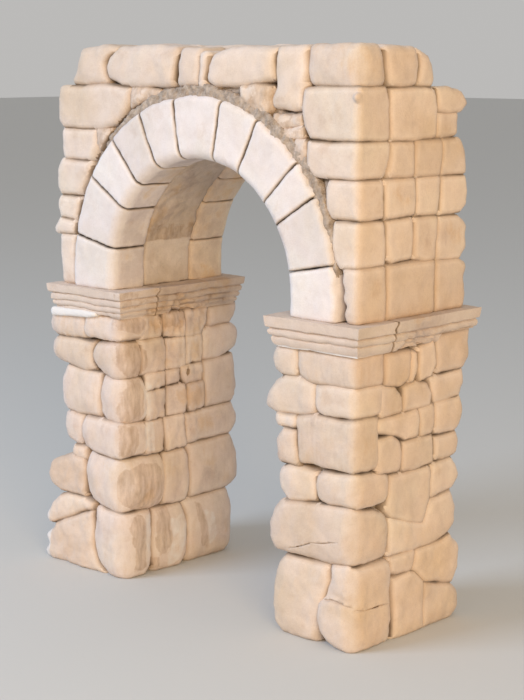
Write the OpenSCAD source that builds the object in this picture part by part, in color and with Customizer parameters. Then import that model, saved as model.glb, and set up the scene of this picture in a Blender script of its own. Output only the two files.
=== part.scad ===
// Ruined triumphal arch of squared limestone: two coursed piers, moulded imposts,
// a stilted ring of eleven voussoirs on each face with a rubble vault between them,
// and the stepped stub of the wall above. Lengths are millimetres and angles degrees.
// Z is up, the front faces -Y, the ground is Z = 0 and X = 0 is mid-way along the base.

/* [Overall] */
// Clear width of the passage between the piers
passage_w = 2800; // [2500:10:3100]
// Width of each pier along the front
pier_w = 1150; // [1000:10:1300]
// Depth of the arch from its front to its back
wall_d = 1950; // [1750:10:2150]
// Height of the piers from the ground to the imposts
pier_h = 3475; // [3000:5:4000]

/* [Imposts] */
// Height of the moulded impost stones
impost_h = 355; // [280:5:420]
// Projection of the impost past the faces of its pier
impost_out = 150; // [100:5:180]
// Distance from the front of the wall to the joint across an impost
impost_joint_at = 540; // [450:10:700]

/* [Arch ring] */
// Distance that the ring stands back on the impost from the passage face of the pier
ring_setback = 115; // [80:5:150]
// Width of the wall left beside the ring at the springing
shoulder_w = 285; // [220:5:350]
// Height of the straight stilt under the half circle
stilt_h = 215; // [120:5:300]
// Distance that the ring stands proud of the wall face
ring_proud = 50; // [20:5:90]
// Depth of the voussoirs of the front ring
front_ring_d = 590; // [480:10:680]
// Depth of the voussoirs of the back ring
back_ring_d = 660; // [480:10:720]
// Distance that the rubble vault stands back from the intrados of the rings
vault_recess = 25; // [10:5:60]
// Width of the rounded-off arris along the intrados of the front ring
intrados_arris = 45; // [20:5:80]

/* [Wall above] */
// Cover of mortared rubble over the crown of the ring
crown_cover = 120; // [80:5:200]
// Height of the top course
top_course_h = 460; // [380:5:540]
// Least thickness of the rubble between the ring and the facing stones of the sides
shoulder_fill = 55; // [30:5:80]
// Distance that the packing of the spandrels stands back from the wall face
fill_recess = 90; // [50:5:140]
// Distance that the broken left end of the top course stands back
top_setback = 220; // [120:10:320]
// Distance that this end leans in from its foot to its top
top_lean = 70; // [0:5:120]
// Width of the tall stone of the top course
tall_w = 450; // [350:10:520]
// Distance that the tall stone reaches down into the spandrel
tall_drop = 265; // [150:5:300]

/* [Stonework] */
// Width of the open joints between neighbouring stones
joint = 12; // [6:1:20]
// Width of the worn arris of a squared stone
arris = 40; // [20:1:60]
// Thickness of the facing stones on the sides of the piers
facing = 380; // [300:5:430]
// Length of the broken bonding stones left on the outer face of the left pier
stub_out = 500; // [400:10:600]

/* [Hidden] */
$fn = 120;
limestone = [0.88, 0.79, 0.68];
pale_limestone = [0.92, 0.87, 0.82];
warm_limestone = [0.85, 0.74, 0.60];
mortar = [0.62, 0.55, 0.47];

half_w = passage_w / 2 + pier_w;
front_y = -wall_d / 2;
back_y = wall_d / 2;
seat_z = pier_h + impost_h;
centre_z = seat_z + stilt_h;
r_in = passage_w / 2 + ring_setback;
r_out = half_w - shoulder_w;
r_mid = (r_in + r_out) / 2;
top_course_z = centre_z + r_out + crown_cover;
upper_facing = shoulder_w - shoulder_fill;
// The bonding stones reach further out than the imposts, so the base is centred over both
centre_x = (stub_out - impost_out) / 2;

// Pier courses from the ground up, each one
// [height, front depth, back depth, swell, front stones, back stones, outer bands, passage bands].
// Depths are shares of wall_d. The swell is how far the rough stones stand out from the plane of
// the pier on its [passage, outer, front, back] face. A front or back stone is
// [width, heights in its stack, nose] from the passage outward, where the nose is the length of a
// broken end that pokes into the passage and an empty stack leaves room for the bonding stones.
// A band is [height, lengths from front to back].
right_courses = [
    [1025, 0.36, 0.32, [90, 20, 40, 30], [[700, [1], 0], [450, [1], 0]],
        [[600, [1], 0], [550, [530, 495], 0]], [[750, [1]], [275, [1]]], [[1, [350, 260]]]],
    [625, 0.32, 0.34, [120, 15, 40, 20], [[1, [1], 0]],
        [[500, [1], 0], [650, [1], 0]], [[1, [1]]], [[1, [340, 300]]]],
    [450, 0.31, 0.28, [40, 10, 20, 10], [[505, [1], 0], [645, [1], 0]],
        [[700, [1], 0], [450, [1], 0]], [[1, [1]]], [[1, [230, 340]]]],
    [650, 0.24, 0.26, [50, 20, 25, 20], [[280, [400, 250], 0], [920, [1], 0]],
        [[450, [1], 0], [700, [260, 390], 0]], [[400, [340, 610]], [250, [650, 270]]],
        [[380, [300, 360, 330]], [270, [340, 280, 370]]]],
    [300, 0.25, 0.29, [50, 25, 30, 30], [[480, [1], 200], [670, [1], 0]],
        [[620, [1], 0], [530, [1], 0]], [[1, [340, 520]]], [[1, [270, 340, 300]]]],
    [400, 0.25, 0.26, [90, 50, 50, 50], [[300, [1], 0], [920, [1], 0]],
        [[750, [1], 0], [400, [1], 0]], [[1, [480, 400]]], [[1, [250, 375, 350]]]]];
left_courses = [
    [875, 0.37, 0.34, [60, 60, 50, 50], [[675, [1], 0], [475, [], 0]],
        [[560, [1], 0], [590, [1], 0]], [[600, [1]], [275, [1]]], [[1, [1]]]],
    [750, 0.43, 0.36, [100, 60, 70, 120], [[800, [1], 0], [350, [], 0]],
        [[420, [1], 0], [730, [1], 0]], [[1, [1]]], [[1, [1]]]],
    [450, 0.26, 0.40, [50, 50, 30, 100], [[775, [1], 0], [375, [1], 0]],
        [[500, [1], 0], [650, [1], 0]], [[1, [1]]], [[1, [230, 340]]]],
    [675, 0.22, 0.26, [50, 60, 40, 90], [[425, [1], 0], [725, [1], 0]],
        [[640, [1], 0], [510, [300, 375], 0]], [[400, [600, 350]], [275, [300, 640]]],
        [[400, [300, 380, 330]], [270, [360, 260, 390]]]],
    [425, 0.24, 0.27, [80, 130, 70, 120], [[625, [1], 0], [525, [1], 0]],
        [[400, [1], 0], [750, [1], 0]], [[1, [420, 500]]], [[1, [270, 340, 300]]]],
    [300, 0.22, 0.25, [60, 140, 80, 90], [[750, [1], 0], [400, [1], 0]],
        [[480, [1], 0], [670, [1], 0]], [[1, [520, 440]]], [[1, [250, 375, 350]]]]];

// Courses above the imposts, each one [height, front depth, back depth, gap to the ring,
// stack of the front stones, lengths on the side, stack of the back stones, their set-backs]
right_haunch = [
    [640, 0.25, 0.29, 20, [1], [1], [1], [0]],
    [505, 0.24, 0.28, 20, [1], [480, 450], [1], [0]],
    [440, 0.22, 0.26, 20, [1], [580, 430], [1], [0]],
    [430, 0.25, 0.25, 40, [1], [480, 490], [1], [0]],
    [585, 0.26, 0.31, 330, [1], [1], [350, 235], [165, 0]]];
left_haunch = [
    [640, 0.25, 0.29, 20, [1], [430, 450], [1], [0]],
    [505, 0.24, 0.26, 20, [200, 305], [1], [1], [0]],
    [440, 0.25, 0.27, 20, [1], [430, 560], [1], [0]],
    [430, 0.24, 0.28, 90, [1], [1], [1], [0]],
    [585, 0.26, 0.25, 40, [1], [460, 450], [1], [0]]];

// Stones of the top course: the front row up to the tall stone, the back row and both returns
top_front = [690, 1290, 370, 130, 1090];
top_back = [820, 1100, 640, 980];
top_d = 0.24;
top_left_side = [460, 500];
top_right_side = [560, 290];
top_right_missing = 610;
top_back_missing = 1100;
top_fill_drop = 90;

// Angles taken by the voussoirs from the right springer over the crown to the left one
voussoirs = [11, 20.5, 11.5, 19.5, 16, 20.8, 16.3, 15.4, 16, 21, 12];
right_springer_i = 0;
keystone_i = 5;
left_springer_i = 10;

// Profile of the impost as shares of its projection and of its height, from the bed up
moulding = [[0.66, 0], [0.70, 0.04], [0.72, 0.30], [0.80, 0.33], [0.80, 0.38], [0.75, 0.42],
    [0.79, 0.50], [0.87, 0.55], [0.87, 0.60], [0.83, 0.64], [0.94, 0.69], [1, 0.97], [0.97, 1]];

// Packing stones in the spandrels: [angle round the ring, distance of their middle from the
// extrados, width, height]
packing = [[67, 180, 430, 190], [54.6, 158, 450, 205], [45, 58, 150, 260],
    [110.3, 210, 640, 85], [137, 40, 320, 340]];
packing_back = 20;

// Broken bonding stones, the outer front stones of the two lowest left courses:
// [course, foot and height as shares of the course, share of the full length, place of the tip
// up its height]
stubs = [[0, 0, 0.615, 1, 0.25], [0, 0.63, 0.355, 0.82, 0], [1, 0, 0.81, 0.84, 0.4],
    [1, 0.83, 0.17, -0.3, 0]];
stub_place = 1;
stub_shank = 0.55;
stub_tip = 0.5;

function sum(v) = before(v, len(v));
function before(v, n) = n <= 0 ? 0 : v[n - 1] + before(v, n - 1);
function low(v, i, run) = run * before(v, i) / sum(v) + (i > 0 ? joint / 2 : 0);
function high(v, i, run) = run * before(v, i + 1) / sum(v) - (i < len(v) - 1 ? joint / 2 : 0);
function share(v, i, run) = run * before(v, i) / sum(v);
function column(table, k) = [for (row = table) row[k]];
function course_z(courses, i) = share(column(courses, 0), i, pier_h);
// Half width of the extrados at a height, with the stilt below the centre
function ring_x(z) = z < centre_z ? r_out : sqrt(max(0, r_out * r_out - pow(z - centre_z, 2)));

// Squared stone with worn arrises, its lower front left corner at the origin
module ashlar(size) {
    c = min(arris, min(size) / 4);
    hull() {
        translate([c, c, 0])
            cube([size.x - 2 * c, size.y - 2 * c, size.z]);
        translate([c, 0, c])
            cube([size.x - 2 * c, size.y, size.z - 2 * c]);
        translate([0, c, c])
            cube([size.x, size.y - 2 * c, size.z - 2 * c]);
    }
}

// Squared stone whose low X end is broken to a blunt nose
module nosed_stone(size, nose) {
    hull() {
        ashlar(size);
        translate([-nose, size.y / 4, size.z / 4])
            ashlar([size.x, size.y / 2, size.z / 2]);
    }
}

// Squared stone whose low X end leans in towards its top
module leaning_stone(size, lean) {
    hull() {
        ashlar([size.x, size.y, size.z / 2]);
        translate([lean, 0, size.z / 2])
            ashlar([size.x - lean, size.y, size.z / 2]);
    }
}

// Stones one above the other, each with its own set-back from the far Y face
module stack(size, heights, set_backs) {
    for (i = [0 : 1 : len(heights) - 1])
        translate([0, 0, low(heights, i, size.z)])
            ashlar([size.x, size.y - set_backs[i], high(heights, i, size.z) - low(heights, i, size.z)]);
}

// Stones side by side along the front or the back of a pier
module along_x(size, stones) {
    widths = column(stones, 0);
    for (i = [0 : len(stones) - 1]) {
        width = high(widths, i, size.x) - low(widths, i, size.x);
        translate([low(widths, i, size.x), 0, 0])
            if (stones[i][2] > 0)
                nosed_stone([width, size.y, size.z], stones[i][2]);
            else
                stack([width, size.y, size.z], stones[i][1], [for (h = stones[i][1]) 0]);
    }
}

// Bands of stones one behind the other along a side
module along_y(size, bands) {
    heights = column(bands, 0);
    for (i = [0 : len(bands) - 1])
        for (k = [0 : len(bands[i][1]) - 1])
            translate([0, low(bands[i][1], k, size.y), low(heights, i, size.z)])
                ashlar([size.x, high(bands[i][1], k, size.y) - low(bands[i][1], k, size.y),
                    high(heights, i, size.z) - low(heights, i, size.z)]);
}

// Right-hand pieces turn into left-hand ones across the middle of the passage
module on_side(side) {
    translate([centre_x, 0, 0])
        mirror([side == "left" ? 1 : 0, 0, 0])
            children();
}

// One course of a pier: quoins at the front and back, facing stones on the two sides
module pier_course(side, courses, i) {
    c = courses[i];
    h = course_z(courses, i + 1) - course_z(courses, i);
    front_d = wall_d * c[1];
    back_d = wall_d * c[2];
    side_d = wall_d - front_d - back_d - 2 * joint;
    passage_swell = c[3][0];
    outer_swell = c[3][1];
    front_swell = c[3][2];
    back_swell = c[3][3];
    run = passage_swell + pier_w + outer_swell;
    color(limestone)
        on_side(side)
            translate([passage_w / 2, 0, course_z(courses, i)]) {
                translate([-passage_swell, front_y - front_swell, 0])
                    along_x([run, front_d + front_swell, h], c[4]);
                translate([-passage_swell, back_y - back_d, 0])
                    along_x([run, back_d + back_swell, h], c[5]);
                translate([pier_w - facing, front_y + front_d + joint, 0])
                    along_y([facing + outer_swell, side_d, h], c[6]);
                translate([-passage_swell, front_y + front_d + joint, 0])
                    along_y([facing + passage_swell, side_d, h], c[7]);
            }
}

// Side profile of a core between the front and the back stones of its courses
module core_profile(courses, levels) {
    last = len(courses) - 1;
    front_edge = [for (i = [0 : last]) for (z = [levels[i], levels[i + 1]])
        [front_y + wall_d * courses[i][1], z]];
    back_edge = [for (i = [last : -1 : 0]) for (z = [levels[i + 1], levels[i]])
        [back_y - wall_d * courses[i][2], z]];
    polygon(concat(front_edge, back_edge));
}

// Rubble and mortar core of a pier, stepped with the depth of the stones round it
module pier_core(side, courses) {
    levels = [for (i = [0 : len(courses)]) course_z(courses, i)];
    color(mortar)
        on_side(side)
            translate([passage_w / 2 + facing, 0, 0])
                rotate([90, 0, 90])
                    linear_extrude(pier_w - 2 * facing)
                        core_profile(courses, levels);
}

// Section of the impost across a pier of the given width
module impost_section(width) {
    right_edge = [for (p = moulding) [width / 2 + p[0] * impost_out, p[1] * impost_h]];
    left_edge = [for (i = [len(moulding) - 1 : -1 : 0])
        [-width / 2 - moulding[i][0] * impost_out, moulding[i][1] * impost_h]];
    polygon(concat(right_edge, left_edge));
}

// Impost of two stones, its moulding mitred round all four faces
module impost(side) {
    reach = wall_d + pier_w;
    color(warm_limestone)
        on_side(side)
            translate([passage_w / 2 + pier_w / 2, 0, pier_h])
                difference() {
                    intersection() {
                        translate([0, reach / 2, 0])
                            rotate([90, 0, 0])
                                linear_extrude(reach)
                                    impost_section(pier_w);
                        translate([-reach / 2, 0, 0])
                            rotate([90, 0, 90])
                                linear_extrude(reach)
                                    impost_section(wall_d);
                    }
                    translate([-reach / 2, front_y + impost_joint_at, -impost_h])
                        cube([reach, joint, 3 * impost_h]);
                }
}

// Section of the ring with worn arrises, intrados to extrados along X
module ring_section(depth) {
    c = arris / 2;
    k = intrados_arris;
    polygon([[r_in + k, 0], [r_out - c, 0], [r_out, c], [r_out, depth - c],
        [r_out - c, depth], [r_in + k, depth], [r_in, depth - k], [r_in, k]]);
}

// Wedge of the ring between two angles, from its front face backward
module wedge(depth, from, to) {
    rotate([90, 0, 0])
        mirror([0, 0, 1])
            rotate([0, 0, from])
                rotate_extrude(angle = to - from)
                    ring_section(depth);
}

// Straight foot of a springer, from the impost to the springing line
module stilt(depth) {
    mirror([0, 0, 1])
        linear_extrude(stilt_h)
            ring_section(depth);
}

// Voussoir of the front ring and the one behind it in the back ring
module voussoir(i) {
    half_joint = joint / 2 / r_mid * 180 / PI;
    from = before(voussoirs, i) + (i == right_springer_i ? 0 : half_joint);
    to = before(voussoirs, i + 1) - (i == left_springer_i ? 0 : half_joint);
    rings = [[front_y - ring_proud, front_ring_d], [back_y + ring_proud - back_ring_d, back_ring_d]];
    color(pale_limestone)
        translate([centre_x, 0, centre_z])
            for (ring = rings)
                translate([0, ring[0], 0]) {
                    wedge(ring[1], from, to);
                    if (i == right_springer_i)
                        stilt(ring[1]);
                    if (i == left_springer_i)
                        mirror([1, 0, 0])
                            stilt(ring[1]);
                }
}

// Outline of the stilted arch out to a radius
module arch_outline(r) {
    circle(r);
    translate([-r, -stilt_h])
        square([2 * r, stilt_h]);
}

// Rubble vault between the two rings, standing on the imposts
module rubble_vault() {
    from = front_y - ring_proud + front_ring_d;
    to = back_y + ring_proud - back_ring_d;
    color(mortar)
        translate([centre_x, to, centre_z])
            rotate([90, 0, 0])
                linear_extrude(to - from)
                    intersection() {
                        difference() {
                            arch_outline(r_out);
                            arch_outline(r_in + vault_recess);
                        }
                        translate([-r_out, -stilt_h])
                            square([2 * r_out, r_out + stilt_h]);
                    }
}

// Inner end of the front stones of a course, clear of the ring
function inner_x(courses, i) = ring_x(haunch_z(courses, i)) + courses[i][3];
function haunch_z(courses, i) = seat_z + share(column(courses, 0), i, top_course_z - seat_z);
// Ends of the tall stone of the top course, beside the last course of the right haunch
tall_right = inner_x(right_haunch, len(right_haunch) - 1) - joint;
tall_left = tall_right - tall_w;

// One course of the wall beside the ring: front and back stones and the side between them
module haunch_course(side, courses, i) {
    c = courses[i];
    z = haunch_z(courses, i);
    h = haunch_z(courses, i + 1) - z;
    x = inner_x(courses, i);
    front_d = wall_d * c[1];
    back_d = wall_d * c[2];
    side_d = wall_d - front_d - back_d - 2 * joint;
    color(limestone)
        on_side(side) {
            translate([x, front_y, z])
                stack([half_w - x, front_d, h], c[4], [for (stone = c[4]) 0]);
            translate([x, back_y - back_d, z])
                stack([half_w - x, back_d, h], c[6], c[7]);
            translate([half_w - upper_facing, front_y + front_d + joint, z])
                along_y([upper_facing, side_d, h], [[1, c[5]]]);
        }
}

// Mortared rubble behind and between the stones of the spandrels, over the vault
module spandrel_fill() {
    fill_d = wall_d - 2 * fill_recess;
    color(mortar)
        translate([centre_x, 0, 0])
            difference() {
                union() {
                    translate([0, fill_d / 2, 0])
                        rotate([90, 0, 0])
                            linear_extrude(fill_d)
                                spandrel_profile();
                    rotate([90, 0, 90])
                        linear_extrude(half_w - upper_facing)
                            core_profile(right_haunch, haunch_levels(right_haunch));
                    mirror([1, 0, 0])
                        rotate([90, 0, 90])
                            linear_extrude(half_w - upper_facing)
                                core_profile(left_haunch, haunch_levels(left_haunch));
                }
                through_arch();
                translate([tall_left, front_y, top_course_z - tall_drop])
                    cube([tall_w, wall_d * top_d, tall_drop]);
            }
}

function haunch_levels(courses) = [for (i = [0 : len(courses)]) haunch_z(courses, i)];

// Front outline of the fill, stepped with the inner ends of the squared stones
module spandrel_profile() {
    last = len(right_haunch) - 1;
    right_edge = [for (i = [0 : last]) for (k = [i, i + 1])
        [inner_x(right_haunch, i), haunch_z(right_haunch, k)]];
    left_edge = [for (i = [last : -1 : 0]) for (k = [i + 1, i])
        [-inner_x(left_haunch, i), haunch_z(left_haunch, k)]];
    polygon(concat(right_edge, left_edge));
}

// Space that the rings and the vault take up, right through the wall
module through_arch() {
    translate([0, wall_d, centre_z])
        rotate([90, 0, 0])
            linear_extrude(2 * wall_d)
                arch_outline(r_out);
}

// Small stones wedged into the mortar between the squared stones and the ring
module packing_stones() {
    color(warm_limestone)
        translate([centre_x, 0, centre_z])
            difference() {
                for (p = packing) {
                    r = r_out + p[1];
                    translate([r * cos(p[0]) - p[2] / 2, front_y + packing_back, r * sin(p[0]) - p[3] / 2])
                        ashlar([p[2], fill_recess - packing_back, p[3]]);
                }
                translate([0, 0, -centre_z])
                    through_arch();
            }
}

// Top course, broken away at the back right corner
module top_course() {
    h = top_course_h;
    d = wall_d * top_d;
    left_x = -half_w + top_setback;
    front_run = tall_left - joint - left_x;
    side_d = wall_d - 2 * d - 2 * joint;
    last_d = side_d + d + joint - top_right_missing;
    color(limestone)
        translate([centre_x, 0, top_course_z]) {
            for (i = [0 : len(top_front) - 1])
                translate([left_x + low(top_front, i, front_run), front_y, 0])
                    leaning_stone([high(top_front, i, front_run) - low(top_front, i, front_run), d, h],
                        i == 0 ? top_lean : 0);
            translate([tall_left, front_y, -tall_drop])
                ashlar([tall_w, d, h + tall_drop]);
            translate([tall_right + joint, front_y, 0])
                ashlar([half_w - tall_right - joint, d, h]);
            translate([left_x, back_y - d, 0])
                along_x([half_w - left_x - top_back_missing, d, h], [for (w = top_back) [w, [1], 0]]);
            translate([left_x, front_y + d + joint, 0])
                along_y([facing, side_d, h], [[1, top_left_side]]);
            translate([half_w - facing, front_y + d + joint, 0])
                along_y([facing, last_d, h], [[1, top_right_side]]);
        }
}

// Rubble left on the top between the stones of the top course
module top_fill() {
    d = wall_d * top_d;
    left_x = -half_w + top_setback + facing;
    color(mortar)
        translate([centre_x + left_x, front_y + d, top_course_z])
            cube([half_w - facing - left_x, wall_d - 2 * d, top_course_h - top_fill_drop]);
}

// Broken stones that once bonded the left pier into a wall beside it
module left_bonding_stones() {
    color(warm_limestone)
        on_side("left")
            for (s = stubs) {
                c = left_courses[s[0]];
                passage_swell = c[3][0];
                front_swell = c[3][2];
                run = passage_swell + pier_w + c[3][1];
                seat = passage_w / 2 - passage_swell + low(column(c[4], 0), stub_place, run);
                depth = wall_d * c[1] + front_swell;
                out = stub_out * s[3];
                shank = half_w - seat + (out > 0 ? out * stub_shank : out);
                reach = half_w - seat + out;
                bed = course_z(left_courses, s[0]);
                h = course_z(left_courses, s[0] + 1) - bed;
                stone_h = h * s[2];
                tip_h = stone_h * stub_tip;
                translate([seat, front_y - front_swell, bed + h * s[1]])
                    hull() {
                        ashlar([shank, depth, stone_h]);
                        translate([0, front_swell, (stone_h - tip_h) * s[4]])
                            ashlar([reach, depth * stub_tip, tip_h]);
                    }
            }
}

pier_course("right", right_courses, 0);  // right_pier_course_1
pier_course("right", right_courses, 1);  // right_pier_course_2
pier_course("right", right_courses, 2);  // right_pier_course_3
pier_course("right", right_courses, 3);  // right_pier_course_4
pier_course("right", right_courses, 4);  // right_pier_course_5
pier_course("right", right_courses, 5);  // right_pier_course_6
pier_core("right", right_courses);  // right_pier_core
impost("right");  // right_impost
pier_course("left", left_courses, 0);  // left_pier_course_1
pier_course("left", left_courses, 1);  // left_pier_course_2
pier_course("left", left_courses, 2);  // left_pier_course_3
pier_course("left", left_courses, 3);  // left_pier_course_4
pier_course("left", left_courses, 4);  // left_pier_course_5
pier_course("left", left_courses, 5);  // left_pier_course_6
pier_core("left", left_courses);  // left_pier_core
impost("left");  // left_impost
left_bonding_stones();
voussoir(right_springer_i);  // right_springer
voussoir(right_springer_i + 1);  // right_voussoir_1
voussoir(right_springer_i + 2);  // right_voussoir_2
voussoir(right_springer_i + 3);  // right_voussoir_3
voussoir(right_springer_i + 4);  // right_voussoir_4
voussoir(keystone_i);  // keystone
voussoir(left_springer_i - 4);  // left_voussoir_4
voussoir(left_springer_i - 3);  // left_voussoir_3
voussoir(left_springer_i - 2);  // left_voussoir_2
voussoir(left_springer_i - 1);  // left_voussoir_1
voussoir(left_springer_i);  // left_springer
rubble_vault();
haunch_course("right", right_haunch, 0);  // right_haunch_course_1
haunch_course("right", right_haunch, 1);  // right_haunch_course_2
haunch_course("right", right_haunch, 2);  // right_haunch_course_3
haunch_course("right", right_haunch, 3);  // right_haunch_course_4
haunch_course("right", right_haunch, 4);  // right_haunch_course_5
haunch_course("left", left_haunch, 0);  // left_haunch_course_1
haunch_course("left", left_haunch, 1);  // left_haunch_course_2
haunch_course("left", left_haunch, 2);  // left_haunch_course_3
haunch_course("left", left_haunch, 3);  // left_haunch_course_4
haunch_course("left", left_haunch, 4);  // left_haunch_course_5
spandrel_fill();
packing_stones();
top_course();
top_fill();
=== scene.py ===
import math
import random

import bpy
import numpy as np
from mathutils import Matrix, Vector, noise


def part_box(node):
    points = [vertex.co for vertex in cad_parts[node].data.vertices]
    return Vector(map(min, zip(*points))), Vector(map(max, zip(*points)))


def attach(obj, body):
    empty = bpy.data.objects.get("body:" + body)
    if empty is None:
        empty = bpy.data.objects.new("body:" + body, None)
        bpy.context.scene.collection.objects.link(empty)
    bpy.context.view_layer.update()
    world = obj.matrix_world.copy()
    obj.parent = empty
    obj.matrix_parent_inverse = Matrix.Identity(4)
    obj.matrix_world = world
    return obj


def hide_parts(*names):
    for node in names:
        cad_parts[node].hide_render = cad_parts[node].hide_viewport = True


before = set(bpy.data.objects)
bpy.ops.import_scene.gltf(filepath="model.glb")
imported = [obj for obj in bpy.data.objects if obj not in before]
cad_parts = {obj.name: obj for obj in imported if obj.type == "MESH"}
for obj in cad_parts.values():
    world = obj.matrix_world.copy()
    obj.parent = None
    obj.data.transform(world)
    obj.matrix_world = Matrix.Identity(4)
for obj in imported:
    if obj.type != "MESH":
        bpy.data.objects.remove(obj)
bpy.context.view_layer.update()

# Right pier: rough limestone blocks laid in six courses, their arrises worn to pillows by the
# weather. Each stone that shows is drawn by its outline on the front (x, z) or on the side
# (y, z); a corner stone has both. The stones of the hidden faces keep the squared shape.
RIGHT_FRONT_Y = -1.01
RIGHT_SIDE_X = 2.745
SIDE_DEPTH = 0.36
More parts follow.
